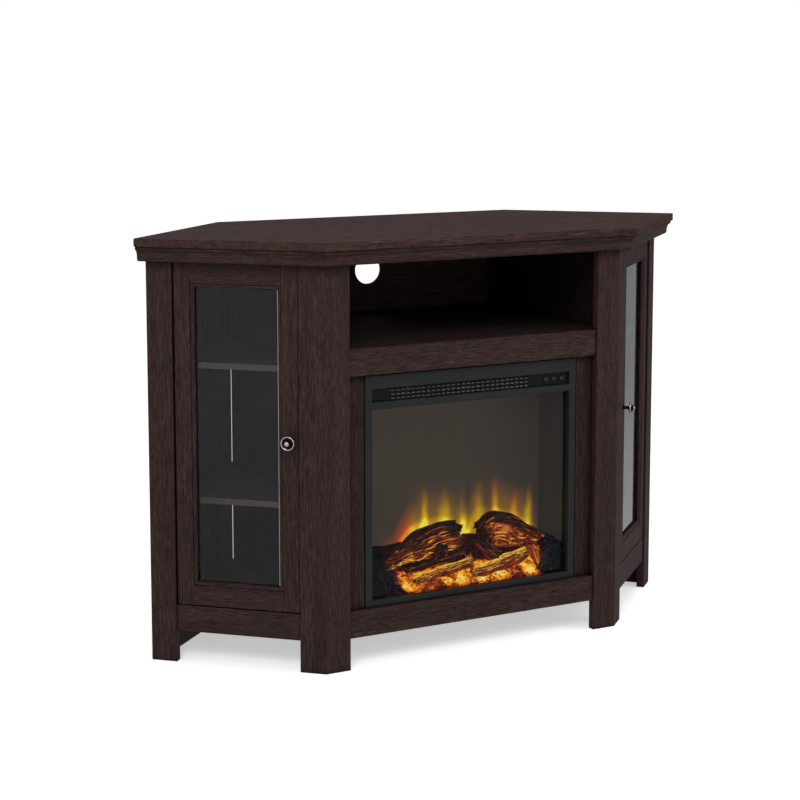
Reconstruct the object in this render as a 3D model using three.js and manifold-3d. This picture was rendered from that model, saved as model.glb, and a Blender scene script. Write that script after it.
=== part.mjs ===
// Fireplace TV stand: a long six-sided cabinet with an electric log fireplace under an open media
// bay, and a glass door on each slanted front side. Millimetres, +Z up, front towards -Y.
// The origin is on the floor under the middle of the top panel.
import * as THREE from "three";
import { mergeVertices } from "three/addons/utils/BufferGeometryUtils.js";
import Module from "manifold-3d";

const wasm = await Module();
wasm.setup();

// Overall size
const overallWidth = 1219.2;
const overallDepth = 508;
const overallHeight = 812.8;
const straightEdge = 677.4; // straight front and back edges of the top panel
const frontOverhang = 38.1; // top panel past the faces of the posts
const backOverhang = 4.8; // top panel past the back of the body
const topThickness = 15.9;
const topEdgeRound = 2;

// Boards
const boardThickness = 15.9;
const thinBoard = 4.8;
const seam = 0.3; // hairline between pieces that meet
const cutPast = 5; // overrun of every cut

// Posts, rails and crown
const postFace = 50.8;
const railHeight = 50.8;
const railSetback = 3.2; // rails and doors behind the faces of the posts
const lowerRailBottom = 60.3;
const mediaBayHeight = 187.3; // from the media shelf to the top panel
const crownHeight = 28.6;
const crownFoot = 19; // crown past the posts at its foot
const crownReach = 33.3; // crown past the posts at its top
const crownBead = 6.5;
const crownStep = 1.5;
const crownFillet = 6;
const crownArcSteps = 5;

// Cable hole
const cableHoleDiameter = 60;
const cableHoleRise = 88.9; // its centre above the media shelf
const cableHoleSides = 32;

// Cabinet shelves and the pins that carry them
const shelfThickness = 12;
const shelfSetback = 30; // front edge behind the faces of the posts
const shelfClearance = 0.5;
const upperShelfTop = 576;
const lowerShelfTop = 317;
const shelfPinDiameter = 5;
const shelfPinProud = 8;
const shelfPinDepth = 10;
const shelfHolePitch = 32;
const shelfPinSides = 8;
const dividerPinShares = [0.14, 0.78]; // along the straight edge of a shelf
const sidePinShares = [0.2, 0.74]; // along the inner face of a side panel

// Doors
const doorThickness = 15.9;
const doorLockGap = 2;
const doorHingeGap = 3;
const doorEndGap = 2.4; // above and below a door
const stileWidth = 31.75;
const doorRailHeight = 38.1;
const beadWidth = 8;
const beadTop = 0.8;
const beadFall = 5;
const beadArcSteps = 5;
const quirkWidth = 1.2;
const quirkDepth = 1.6;
const beadBackStep = 0.6;
const paneThickness = 3;
const paneSetback = 8.3;
const paneLap = 5.9; // pane inside its groove
const pivotDiameter = 5;
const pivotLength = 22;
const pivotFromEdge = 8;
const pivotFromFace = 6;
const pivotSides = 16;

// Door knobs
const knobHeight = 438;
const knobDiameter = 27;
const knobProud = 25;
const knobSpigotDiameter = 4;
const knobSpigotLength = 9;
const knobSides = 20;
// Outline of a knob from its rosette to its dome: shares of its radius and of its projection
const knobShares = [
  [0.48, 0],
  [0.48, 0.06],
  [0.34, 0.11],
  [0.25, 0.19],
  [0.24, 0.38],
  [0.45, 0.5],
  [0.86, 0.57],
  [1, 0.64],
  [1, 0.72],
  [0.93, 0.77],
  [0.72, 0.78],
  [0.66, 0.74],
  [0.6, 0.83],
  [0.4, 0.94],
  [0.2, 0.985],
];

// Fireplace insert: frame, glass and control panel
const insertWidth = 468;
const insertSetback = 14.3; // its face behind the faces of the posts
const insertTopGap = 3.3;
const insertSideGap = 2;
const frameDepth = 12;
const frameRound = 1;
const frameSideBand = 15;
const frameBottomBand = 11.6;
const frameMiddleBand = 14;
const frameTopBand = 26.5;
const panelHeight = 25;
const panelSetback = 6;
const panelSheet = 2;
const panelFlange = 5;
const fireGlassThickness = 4;
const fireGlassLap = 6;

// Louvres of the control panel
const louvreColumns = 28;
const louvreRows = 3;
const louvrePitch = 10.9;
const louvreRowPitch = 7.6;
const louvreWidth = 8.4;
const louvreHeight = 4.6;
const louvreMiddle = -24.5; // middle of the louvred field from the middle of the insert

// Push buttons
const buttonDiameter = 9;
const buttonProud = 2.5;
const buttonRound = 0.7;
const buttonCollar = 1.2;
const buttonCollarDiameter = 12;
const buttonSpacing = 18;
const buttonMiddle = 185; // middle button from the middle of the insert
const buttonSides = 20;

// Sheet-metal case of the insert
const sheet = 1.5;
const caseInset = 8; // case inside the width of the frame, each side
const caseDepth = 190;
const caseTopDrop = 19; // case below the top of the frame
const flangeReach = 6;
const deckRise = 2; // heater deck above the top of the fire opening
const ventCount = 14;
const ventPitch = 22;
const ventWidth = 5;
const ventHeight = 24;
const glandDiameter = 14;
const glandHeadDiameter = 20;
const glandHead = 4;
const glandChamfer = 2;
const glandBore = 7.5;
const glandHeight = 28;
const glandInset = 45;
const glandSides = 20;

// Flame screen and log set
const screenSetback = 101; // screen behind the glass
const screenThickness = 3;
const bedFront = 18; // height of the front lip of the ember bed
const bedBack = 100; // and of its back at the flame screen
const bedSide = 84;
const bedSideWidth = 34;
const bedGap = 1;
const bedColumns = 34;
const bedRows = 9;
const emberLump = 5;
const emberPitch = 31; // from one lump to the next along the bed
const emberRowPitch = 38; // and across it
const logColumns = 14;
const logSides = 16;
const barkRidge = 1.6;
const barkRidgeCount = 5; // round a log
const barkBreaks = 9; // radians of fading in and out along a log

// Flicker spindle, its motor and the blower
const spindleDiameter = 4;
const spindleHeight = 62;
const spindleBehindScreen = 34;
const flapLength = 20;
const flapReach = 13;
const flapThickness = 0.8;
const flapCount = 9;
const motorDiameter = 42;
const motorLength = 20;
const motorBoss = 7;
const motorBossDiameter = 12;
const ductWidth = 250;
const ductDepth = 62;
const ductFrontGap = 26;
const blowerDiameter = 30;
const blowerPlay = 12; // wheel inside each end of its duct
const blowerBlades = 12;
const bladeWidth = 6;
const bladeThickness = 1;
const roundSides = 24;

// Materials
function finish(color, roughness, metalness, extra = {}) {
  return new THREE.MeshStandardMaterial({ color, roughness, metalness, flatShading: true, ...extra });
}
const espressoWood = finish(0x3a2e2c, 0.5, 0);
const innerBoard = finish(0x2e2523, 0.6, 0);
const cabinetGlass = finish(0x3a3b3e, 0.08, 0, { transparent: true, opacity: 0.35 });
const smokedGlass = finish(0x2c2b2b, 0.08, 0, { transparent: true, opacity: 0.4 });
const knobMetal = finish(0x2a2624, 0.35, 0.9);
const steel = finish(0x9a9a9a, 0.35, 1);
const blackSteel = finish(0x2a2b2b, 0.5, 0.6);
const blackPlastic = finish(0x1c1c1d, 0.45, 0);
const screenPlastic = finish(0x4a4340, 0.5, 0);
const emberResin = finish(0xe07a1c, 0.8, 0, { emissive: 0xff6a10, emissiveIntensity: 0.6 });
const logResin = finish(0x5a3520, 0.85, 0);

// Plan of the cabinet: lines moved in from the edges of the top panel, side -1 left and 1 right
const halfWidth = overallWidth / 2;
const halfDepth = overallDepth / 2;
const halfEdge = straightEdge / 2;
const slant = Math.atan2(halfDepth, halfWidth - halfEdge);
const slantSin = Math.sin(slant);
const slantCos = Math.cos(slant);
const slantReach = halfEdge * slantSin + halfDepth * slantCos;

function onFrontSlant(side, inset, y) {
  return new THREE.Vector2((side * (slantReach - inset + y * slantCos)) / slantSin, y);
}

function onBackSlant(side, inset, y) {
  return new THREE.Vector2((side * (slantReach - inset - y * slantCos)) / slantSin, y);
}

function frontCorner(side, inset) {
  return onFrontSlant(side, inset, inset - halfDepth);
}

function backCorner(side, slantInset, backInset) {
  return onBackSlant(side, slantInset, halfDepth - backInset);
}

function tipCorner(side, frontInset, backInset) {
  return onFrontSlant(side, frontInset, (frontInset - backInset) / (2 * slantCos));
}

function hexagon(frontInset, slantBackInset, backInset) {
  return [
    frontCorner(-1, frontInset),
    frontCorner(1, frontInset),
    tipCorner(1, frontInset, slantBackInset),
    backCorner(1, slantBackInset, backInset),
    backCorner(-1, slantBackInset, backInset),
    tipCorner(-1, frontInset, slantBackInset),
  ];
}

// Solids: a closed geometry with merged corners joins and cuts others, and comes back as a geometry
function solid(geometry) {
  const bare = geometry.clone();
  bare.deleteAttribute("normal");
  bare.deleteAttribute("uv");
  const merged = mergeVertices(bare);
  const corners = merged.index.array;
  const kept = [];
  for (let i = 0; i < corners.length; i += 3) {
    const [a, b, c] = corners.subarray(i, i + 3);
    if (a !== b && b !== c && c !== a) kept.push(a, b, c);
  }
  const vertProperties = merged.attributes.position.array;
  const triVerts = new Uint32Array(kept);
  return new wasm.Manifold(new wasm.Mesh({ numProp: 3, vertProperties, triVerts }));
}

function geometryOf(body) {
  const { vertProperties, triVerts } = body.getMesh();
  return new THREE.BufferGeometry()
    .setAttribute("position", new THREE.BufferAttribute(vertProperties, 3))
    .setIndex(new THREE.BufferAttribute(triVerts, 1));
}

function joined(first, ...others) {
  return others.reduce((sum, next) => sum.add(solid(next)), solid(first));
}

// Basic forms
function block(x0, x1, y0, y1, z0, z1) {
  const box = new THREE.BoxGeometry(x1 - x0, y1 - y0, z1 - z0);
  return box.translate((x0 + x1) / 2, (y0 + y1) / 2, (z0 + z1) / 2);
}

function prism(points, height) {
  return new THREE.ExtrudeGeometry(new THREE.Shape(points), { depth: height, bevelEnabled: false });
}

// A shape drawn in X and Z, standing from y = front to y = back
function upright(shape, front, back, round = 0) {
  return new THREE.ExtrudeGeometry(shape, {
    depth: back - front - 2 * round,
    bevelEnabled: round > 0,
    bevelThickness: round,
    bevelSize: round,
    bevelOffset: -round,
    bevelSegments: 1,
  })
    .rotateX(Math.PI / 2)
    .translate(0, back - round, 0);
}

function rectangle(x0, x1, z0, z1) {
  return [
    new THREE.Vector2(x0, z0),
    new THREE.Vector2(x1, z0),
    new THREE.Vector2(x1, z1),
    new THREE.Vector2(x0, z1),
  ];
}

function rod(diameter, from, to, sides) {
  const axis = new THREE.Vector3().subVectors(to, from);
  const turn = new THREE.Quaternion().setFromUnitVectors(
    new THREE.Vector3(0, 1, 0),
    axis.clone().normalize(),
  );
  const middle = new THREE.Vector3().addVectors(from, to).multiplyScalar(0.5);
  return new THREE.CylinderGeometry(diameter / 2, diameter / 2, axis.length(), sides)
    .applyQuaternion(turn)
    .translate(middle.x, middle.y, middle.z);
}

// Moves every corner of a geometry, and turns the faces out again where the move mirrors them
function mapped(geometry, place) {
  const moved = geometry.clone();
  const position = moved.attributes.position;
  for (let i = 0; i < position.count; i += 1) {
    const [x, y, z] = place(position.getX(i), position.getY(i), position.getZ(i));
    position.setXYZ(i, x, y, z);
  }
  const flat = moved.index ? moved.toNonIndexed() : moved;
  const p = flat.attributes.position;
  const [a, b, c] = [new THREE.Vector3(), new THREE.Vector3(), new THREE.Vector3()];
  let volume = 0;
  for (let i = 0; i < p.count; i += 3) {
    a.fromBufferAttribute(p, i);
    b.fromBufferAttribute(p, i + 1);
    c.fromBufferAttribute(p, i + 2);
    volume += a.dot(b.cross(c));
  }
  if (volume > 0) return flat;
  for (let i = 0; i < p.count; i += 3) {
    b.fromBufferAttribute(p, i + 1);
    c.fromBufferAttribute(p, i + 2);
    p.setXYZ(i + 1, c.x, c.y, c.z);
    p.setXYZ(i + 2, b.x, b.y, b.z);
  }
  return flat;
}

const stand = new THREE.Group();
const sideNames = { "-1": "left", 1: "right" };

function addPiece(parent, name, form, material, x = 0, y = 0, z = 0) {
  const body = form.isBufferGeometry ? solid(form) : form;
  const piece = new THREE.Mesh(geometryOf(body), material);
  piece.name = name;
  piece.position.set(x, y, z);
  parent.add(piece);
}

// Levels and planes shared by the carcass
const underTop = overallHeight - topThickness - seam;
const crownBottom = overallHeight - topThickness - crownHeight;
const lowerRailTop = lowerRailBottom + railHeight;
const mantelTop = overallHeight - topThickness - mediaBayHeight;
const mantelRailBottom = mantelTop - railHeight;
const bodyFront = frontOverhang - halfDepth;
const bodyBack = halfDepth - backOverhang;
const behindPosts = bodyFront + boardThickness + seam;
const railBack = bodyFront + railSetback + boardThickness;
const postCorner = frontCorner(1, frontOverhang);
const straightBay = postCorner.x - postFace; // half the width between the front posts
const faceLength = tipCorner(1, frontOverhang, backOverhang).distanceTo(postCorner);
const sideInner = backOverhang + boardThickness;
const postInnerX = frontCorner(1, frontOverhang + boardThickness).x;
const dividerOuter = Math.min(postInnerX, backCorner(1, sideInner, backOverhang).x) - seam;
const dividerInner = dividerOuter - boardThickness;
const backPanelFront = bodyBack - thinBoard;

function topPanel() {
  return new THREE.ExtrudeGeometry(new THREE.Shape(hexagon(0, 0, 0)), {
    depth: topThickness - 2 * topEdgeRound,
    bevelEnabled: true,
    bevelThickness: topEdgeRound,
    bevelSize: topEdgeRound,
    bevelOffset: -topEdgeRound,
    bevelSegments: 3,
  }).translate(0, 0, topEdgeRound);
}

addPiece(stand, "top_panel", topPanel(), espressoWood, 0, 0, overallHeight - topThickness);

// Crown section: x out from the posts and y up, with a bead at its foot and a cove under a fillet
function crownSection() {
  const beadEdge = crownFoot + crownBead;
  const coveFoot = crownBead + crownStep;
  const coveWidth = crownReach - beadEdge;
  const coveHeight = crownHeight - crownFillet - coveFoot;
  const points = [new THREE.Vector2(seam, 0)];
  for (let i = 0; i <= crownArcSteps; i += 1) {
    const turn = (Math.PI / 2) * (i / crownArcSteps);
    points.push(
      new THREE.Vector2(crownFoot + crownBead * Math.sin(turn), crownBead * (1 - Math.cos(turn))),
    );
  }
  for (let i = 0; i <= crownArcSteps; i += 1) {
    const turn = (Math.PI / 2) * (i / crownArcSteps);
    points.push(
      new THREE.Vector2(crownReach - coveWidth * Math.cos(turn), coveFoot + coveHeight * Math.sin(turn)),
    );
  }
  points.push(new THREE.Vector2(crownReach, crownHeight - seam));
  points.push(new THREE.Vector2(seam, crownHeight - seam));
  return points;
}

// A length of crown between two corners of the plan, mitred because each corner follows its inset
function crownRun(start, end) {
  return mapped(prism(crownSection(), 1), (out, up, along) => {
    const from = start(frontOverhang - out);
    const to = end(frontOverhang - out);
    const run = new THREE.Vector2().subVectors(to, from).setLength(seam / 2);
    const point = along > 0 ? to.sub(run) : from.add(run);
    return [point.x, point.y, up];
  });
}

const frontCrown = crownRun(
  (inset) => frontCorner(1, inset),
  (inset) => frontCorner(-1, inset),
);
addPiece(stand, "crown_front", frontCrown, espressoWood, 0, 0, crownBottom);
for (const side of [-1, 1]) {
  const crown = crownRun(
    (inset) => frontCorner(side, inset),
    (inset) => tipCorner(side, inset, 0),
  );
  addPiece(stand, `crown_${sideNames[side]}`, crown, espressoWood, 0, 0, crownBottom);
}

// A front post is two boards mitred along the corner of the plan, and a tip post is one board whose
// outer edge is cut on the back of the body
function alongFace(side, corner, distance, depth) {
  return new THREE.Vector2(
    corner.x + side * (distance * slantCos - depth * slantSin),
    corner.y + distance * slantSin + depth * slantCos,
  );
}

function frontPost(side) {
  const corner = frontCorner(side, frontOverhang);
  const innerX = corner.x - side * postFace;
  return prism(
    [
      corner,
      alongFace(side, corner, postFace, 0),
      alongFace(side, corner, postFace, boardThickness),
      frontCorner(side, frontOverhang + boardThickness),
      new THREE.Vector2(innerX, corner.y + boardThickness),
      new THREE.Vector2(innerX, corner.y),
    ],
    underTop,
  );
}

function tipPost(side) {
  const corner = frontCorner(side, frontOverhang);
  const start = faceLength - postFace;
  return prism(
    [
      alongFace(side, corner, start, 0),
      tipCorner(side, frontOverhang, backOverhang),
      tipCorner(side, frontOverhang + boardThickness, backOverhang),
      alongFace(side, corner, start, boardThickness),
    ],
    underTop,
  );
}

for (const side of [-1, 1]) {
  addPiece(stand, `front_post_${sideNames[side]}`, frontPost(side), espressoWood);
  addPiece(stand, `tip_post_${sideNames[side]}`, tipPost(side), espressoWood);
}

// Rails of the straight front, between the front posts
function frontRail(height) {
  const halfLength = straightBay - seam;
  return block(-halfLength, halfLength, bodyFront + railSetback, railBack, 0, height);
}

addPiece(stand, "lower_rail_front", frontRail(railHeight), espressoWood, 0, 0, lowerRailBottom);
addPiece(stand, "mantel_rail", frontRail(railHeight), espressoWood, 0, 0, mantelRailBottom);
addPiece(stand, "top_rail_front", frontRail(underTop - crownBottom), espressoWood, 0, 0, crownBottom);

// Slanted faces: a group whose X runs along the face from the front post and whose Y runs inwards
const faces = {};
for (const side of [-1, 1]) {
  const face = new THREE.Group();
  face.position.set(side * postCorner.x, postCorner.y, 0);
  face.rotation.z = side * slant;
  stand.add(face);
  faces[side] = face;
}

const doorStart = postFace + doorLockGap;
const doorEnd = faceLength - postFace - doorHingeGap;
const doorBottom = lowerRailTop + doorEndGap;
const doorTop = crownBottom - doorEndGap;
const pivotAlong = doorEnd - pivotFromEdge;
const pivotDepth = railSetback + pivotFromFace;
const pivotInRail = (pivotLength - doorEndGap) / 2;
const pivotInStile = pivotLength - pivotInRail - doorEndGap;

// A blind hole for a door pivot, between two heights
function pivotHole(side, low, high) {
  const x = side * pivotAlong;
  return solid(
    rod(
      pivotDiameter + 2 * seam,
      new THREE.Vector3(x, pivotDepth, low),
      new THREE.Vector3(x, pivotDepth, high),
      pivotSides,
    ),
  );
}

function sideRail(side, low, high) {
  const length = faceLength - 2 * postFace - 2 * seam;
  const middle = side * (faceLength / 2);
  return solid(
    block(middle - length / 2, middle + length / 2, railSetback, railSetback + boardThickness, low, high),
  );
}

for (const side of [-1, 1]) {
  const lowerRail = sideRail(side, lowerRailBottom, lowerRailTop).subtract(
    pivotHole(side, lowerRailTop - pivotInRail - seam, lowerRailTop + cutPast),
  );
  addPiece(faces[side], `lower_rail_${sideNames[side]}`, lowerRail, espressoWood);
  const topRail = sideRail(side, crownBottom, underTop).subtract(
    pivotHole(side, crownBottom - cutPast, crownBottom + pivotInRail + seam),
  );
  addPiece(faces[side], `top_rail_${sideNames[side]}`, topRail, espressoWood);
}

// Boards inside the carcass
const floorInset = frontOverhang + railSetback + boardThickness + seam;
const bottomPanel = prism(hexagon(floorInset, sideInner + seam, backOverhang), boardThickness);
addPiece(stand, "bottom_panel", bottomPanel, innerBoard, 0, 0, lowerRailTop - boardThickness);

// Wide behind the posts, and one step narrower in front where it meets the mantel rail
function mediaShelf() {
  const wide = dividerInner - seam;
  const back = backPanelFront - seam;
  return prism(
    [
      new THREE.Vector2(-wide, behindPosts),
      new THREE.Vector2(-straightBay, behindPosts),
      new THREE.Vector2(-straightBay, railBack + seam),
      new THREE.Vector2(straightBay, railBack + seam),
      new THREE.Vector2(straightBay, behindPosts),
      new THREE.Vector2(wide, behindPosts),
      new THREE.Vector2(wide, back),
      new THREE.Vector2(-wide, back),
    ],
    boardThickness,
  );
}

addPiece(stand, "media_shelf", mediaShelf(), espressoWood, 0, 0, mantelTop - boardThickness);

// Thin back of the media bay with its cable hole
function mediaBack() {
  const bottom = mantelTop - boardThickness;
  const panel = upright(
    new THREE.Shape(rectangle(-dividerOuter, dividerOuter, bottom, underTop)),
    backPanelFront,
    bodyBack,
  );
  const holeHeight = mantelTop + cableHoleRise;
  const hole = rod(
    cableHoleDiameter,
    new THREE.Vector3(0, backPanelFront - cutPast, holeHeight),
    new THREE.Vector3(0, bodyBack + cutPast, holeHeight),
    cableHoleSides,
  );
  return solid(panel).subtract(solid(hole));
}

addPiece(stand, "media_back_panel", mediaBack(), innerBoard);

// Places of the shelf pins of one cabinet: where each leaves its board, and the way it points
function sidePanelEdge(side) {
  const frontInset = frontOverhang + boardThickness + seam;
  return {
    tipOuter: tipCorner(side, frontInset, backOverhang),
    tipInner: tipCorner(side, frontInset, sideInner),
    backInner: backCorner(side, sideInner, backOverhang),
    backOuter: backCorner(side, backOverhang, backOverhang),
  };
}

const shelfInset = frontOverhang + shelfSetback;
const shelfBackInset = sideInner + shelfClearance;
const shelfX = dividerOuter + shelfClearance;

function shelfCorners(side) {
  const frontY = (shelfX * slantSin - slantReach + shelfInset) / slantCos;
  const backY = (slantReach - shelfBackInset - shelfX * slantSin) / slantCos;
  return [
    new THREE.Vector2(side * shelfX, frontY),
    tipCorner(side, shelfInset, shelfBackInset),
    new THREE.Vector2(side * shelfX, backY),
  ];
}

function dividerPins(side) {
  const [front, , back] = shelfCorners(side);
  return dividerPinShares.map((share) => ({
    foot: new THREE.Vector2(side * dividerOuter, THREE.MathUtils.lerp(front.y, back.y, share)),
    way: new THREE.Vector2(side, 0),
  }));
}

function sidePins(side) {
  const { tipInner, backInner } = sidePanelEdge(side);
  return sidePinShares.map((share) => ({
    foot: tipInner.clone().lerp(backInner, share),
    way: new THREE.Vector2(-side * slantSin, -slantCos),
  }));
}

// Drills a row of holes round each shelf height and sets a pin in the middle one
function withShelfPins(board, pins) {
  let drilled = solid(board);
  const at = (pin, reach, height) =>
    new THREE.Vector3(pin.foot.x + pin.way.x * reach, pin.foot.y + pin.way.y * reach, height);
  for (const shelfTop of [upperShelfTop, lowerShelfTop]) {
    const pinHeight = shelfTop - shelfThickness - seam - shelfPinDiameter / 2;
    for (const pin of pins) {
      for (const height of [pinHeight - shelfHolePitch, pinHeight + shelfHolePitch]) {
        const hole = rod(
          shelfPinDiameter,
          at(pin, -shelfPinDepth, height),
          at(pin, cutPast, height),
          shelfPinSides,
        );
        drilled = drilled.subtract(solid(hole));
      }
      const peg = rod(
        shelfPinDiameter,
        at(pin, -shelfPinDepth, pinHeight),
        at(pin, shelfPinProud, pinHeight),
        shelfPinSides,
      );
      drilled = drilled.add(solid(peg));
    }
  }
  return drilled;
}

function divider(side) {
  const [x0, x1] = [side * dividerInner, side * dividerOuter].sort((a, b) => a - b);
  return block(x0, x1, behindPosts, backPanelFront - seam, lowerRailTop + seam, underTop);
}

function sidePanel(side) {
  const { tipOuter, tipInner, backInner, backOuter } = sidePanelEdge(side);
  return prism([tipOuter, tipInner, backInner, backOuter], underTop);
}

for (const side of [-1, 1]) {
  const name = sideNames[side];
  addPiece(stand, `divider_${name}`, withShelfPins(divider(side), dividerPins(side)), innerBoard);
  addPiece(stand, `side_panel_${name}`, withShelfPins(sidePanel(side), sidePins(side)), espressoWood);
  for (const [level, shelfTop] of Object.entries({ upper: upperShelfTop, lower: lowerShelfTop })) {
    const shelf = prism(shelfCorners(side), shelfThickness);
    addPiece(stand, `${name}_${level}_shelf`, shelf, innerBoard, 0, 0, shelfTop - shelfThickness);
  }
}

// Fillers that close the bay on both sides of the fireplace
for (const side of [-1, 1]) {
  const edge = insertWidth / 2 + insertSideGap;
  const [x0, x1] = [side * edge, side * (dividerInner - seam)].sort((a, b) => a - b);
  const height = mantelRailBottom - lowerRailTop - 2 * seam;
  const filler = block(x0, x1, behindPosts, behindPosts + boardThickness, 0, height);
  addPiece(stand, `filler_${sideNames[side]}`, filler, espressoWood, 0, 0, lowerRailTop + seam);
}

// Door members: X runs across the member to the pane, Y back from the face and Z along the member.
// The bead on the inner edge has a quirk beside it and a groove for the pane behind it.
function memberSection(boardWidth) {
  const grooveFront = paneSetback - seam;
  const grooveBack = paneSetback + paneThickness + seam;
  const grooveFoot = beadWidth - paneLap - seam;
  const points = [
    new THREE.Vector2(-boardWidth, 0),
    new THREE.Vector2(0, 0),
    new THREE.Vector2(0, quirkDepth),
  ];
  for (let i = 0; i <= beadArcSteps; i += 1) {
    const turn = (Math.PI / 2) * (i / beadArcSteps);
    const across = quirkWidth + (beadWidth - quirkWidth) * Math.sin(turn);
    points.push(new THREE.Vector2(across, beadTop + (beadFall - beadTop) * (1 - Math.cos(turn))));
  }
  points.push(
    new THREE.Vector2(beadWidth, grooveFront),
    new THREE.Vector2(grooveFoot, grooveFront),
    new THREE.Vector2(grooveFoot, grooveBack),
    new THREE.Vector2(beadWidth, grooveBack),
    new THREE.Vector2(beadWidth, doorThickness - beadBackStep),
    new THREE.Vector2(0, doorThickness - beadBackStep),
    new THREE.Vector2(0, doorThickness),
    new THREE.Vector2(-boardWidth, doorThickness),
  );
  return points;
}

// The bead is mitred at both ends, `inset` in from the ends of the board
function doorMember(boardWidth, length, inset, place) {
  const reach = beadWidth + cutPast;
  const waste = [
    new THREE.Vector2(0, -cutPast),
    new THREE.Vector2(reach, -cutPast),
    new THREE.Vector2(reach, inset + reach),
    new THREE.Vector2(0, inset),
  ];
  const cutter = prism(waste, doorThickness + 2 * cutPast);
  const low = mapped(cutter, (x, y, z) => place(x, z - cutPast, y));
  const high = mapped(cutter, (x, y, z) => place(x, z - cutPast, length - y));
  const member = mapped(prism(memberSection(boardWidth), length), place);
  return solid(member).subtract(solid(low)).subtract(solid(high));
}

function knobProfile() {
  const radius = knobDiameter / 2;
  const profile = [
    new THREE.Vector2(0, -knobSpigotLength),
    new THREE.Vector2(knobSpigotDiameter / 2, -knobSpigotLength),
    new THREE.Vector2(knobSpigotDiameter / 2, 0),
  ];
  for (const [outShare, upShare] of knobShares) {
    profile.push(new THREE.Vector2(radius * outShare, knobProud * upShare));
  }
  profile.push(new THREE.Vector2(0, knobProud));
  return profile;
}

const knobForm = new THREE.LatheGeometry(knobProfile(), knobSides).rotateX(Math.PI);

function buildDoor(side) {
  const face = faces[side];
  const name = sideNames[side];
  const height = doorTop - doorBottom;
  const railStart = doorStart + stileWidth + seam;
  const railLength = doorEnd - stileWidth - seam - railStart;

  const knobAlong = side * (doorStart + stileWidth / 2);
  const knobHole = rod(
    knobSpigotDiameter + 2 * seam,
    new THREE.Vector3(knobAlong, railSetback - cutPast, knobHeight),
    new THREE.Vector3(knobAlong, railSetback + knobSpigotLength + seam, knobHeight),
    pivotSides,
  );
  const lockStile = doorMember(stileWidth, height, doorRailHeight, (x, y, z) => [
    side * (doorStart + stileWidth + x),
    railSetback + y,
    doorBottom + z,
  ]).subtract(solid(knobHole));
  addPiece(face, `${name}_door_lock_stile`, lockStile, espressoWood);

  const hingeStile = doorMember(stileWidth, height, doorRailHeight, (x, y, z) => [
    side * (doorEnd - stileWidth - x),
    railSetback + y,
    doorBottom + z,
  ])
    .subtract(pivotHole(side, doorBottom - cutPast, doorBottom + pivotInStile + seam))
    .subtract(pivotHole(side, doorTop - pivotInStile - seam, doorTop + cutPast));
  addPiece(face, `${name}_door_hinge_stile`, hingeStile, espressoWood);

  const bottomRail = doorMember(doorRailHeight, railLength, 0, (x, y, z) => [
    side * (railStart + z),
    railSetback + y,
    doorBottom + doorRailHeight + x,
  ]);
  addPiece(face, `${name}_door_bottom_rail`, bottomRail, espressoWood);

  const topRail = doorMember(doorRailHeight, railLength, 0, (x, y, z) => [
    side * (railStart + z),
    railSetback + y,
    doorTop - doorRailHeight - x,
  ]);
  addPiece(face, `${name}_door_top_rail`, topRail, espressoWood);

  const paneEdge = stileWidth + beadWidth - paneLap;
  const paneHalf = (doorEnd - doorStart) / 2 - paneEdge;
  const paneEnd = doorRailHeight + beadWidth - paneLap;
  const pane = block(
    -paneHalf,
    paneHalf,
    railSetback + paneSetback,
    railSetback + paneSetback + paneThickness,
    paneEnd,
    height - paneEnd,
  );
  const paneMiddle = side * ((doorStart + doorEnd) / 2);
  addPiece(face, `${name}_door_glass`, pane, cabinetGlass, paneMiddle, 0, doorBottom);

  addPiece(face, `${name}_door_knob`, knobForm, knobMetal, knobAlong, railSetback - seam, knobHeight);

  const pivots = { lower: lowerRailTop - pivotInRail, upper: doorTop - pivotInStile };
  for (const [level, foot] of Object.entries(pivots)) {
    const pin = new THREE.CylinderGeometry(pivotDiameter / 2, pivotDiameter / 2, pivotLength, pivotSides)
      .rotateX(Math.PI / 2)
      .translate(0, 0, pivotLength / 2);
    addPiece(face, `${name}_door_${level}_pivot`, pin, steel, side * pivotAlong, pivotDepth, foot);
  }
}

buildDoor(-1);
buildDoor(1);

// The fireplace insert: a group with its origin at the middle of the foot of its front face
const insertFoot = lowerRailTop + seam;
const frameHeight = mantelRailBottom - insertTopGap - insertFoot;
const insert = new THREE.Group();
insert.position.set(0, bodyFront + insertSetback, insertFoot);
stand.add(insert);

const openingHalf = insertWidth / 2 - frameSideBand;
const panelTop = frameHeight - frameTopBand;
const panelBottom = panelTop - panelHeight;
const glassTop = panelBottom - frameMiddleBand;

function insertFrame() {
  const outline = new THREE.Shape(rectangle(-insertWidth / 2, insertWidth / 2, 0, frameHeight));
  outline.holes.push(new THREE.Path(rectangle(-openingHalf, openingHalf, frameBottomBand, glassTop)));
  outline.holes.push(new THREE.Path(rectangle(-openingHalf, openingHalf, panelBottom, panelTop)));
  return upright(outline, 0, frameDepth, frameRound);
}

addPiece(insert, "firebox_front_frame", insertFrame(), blackSteel);

const glassFront = frameDepth + seam;
const glassBack = glassFront + fireGlassThickness;
const fireGlass = block(
  -openingHalf - fireGlassLap,
  openingHalf + fireGlassLap,
  glassFront,
  glassBack,
  frameBottomBand - fireGlassLap,
  glassTop + fireGlassLap,
);
addPiece(insert, "firebox_glass", fireGlass, smokedGlass);

// Control panel: a pressed tray whose face stands in the frame and whose flange lies behind it
const buttonHeight = (panelBottom + panelTop) / 2;

function buttonX(index) {
  return buttonMiddle + (index - 1) * buttonSpacing;
}

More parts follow.
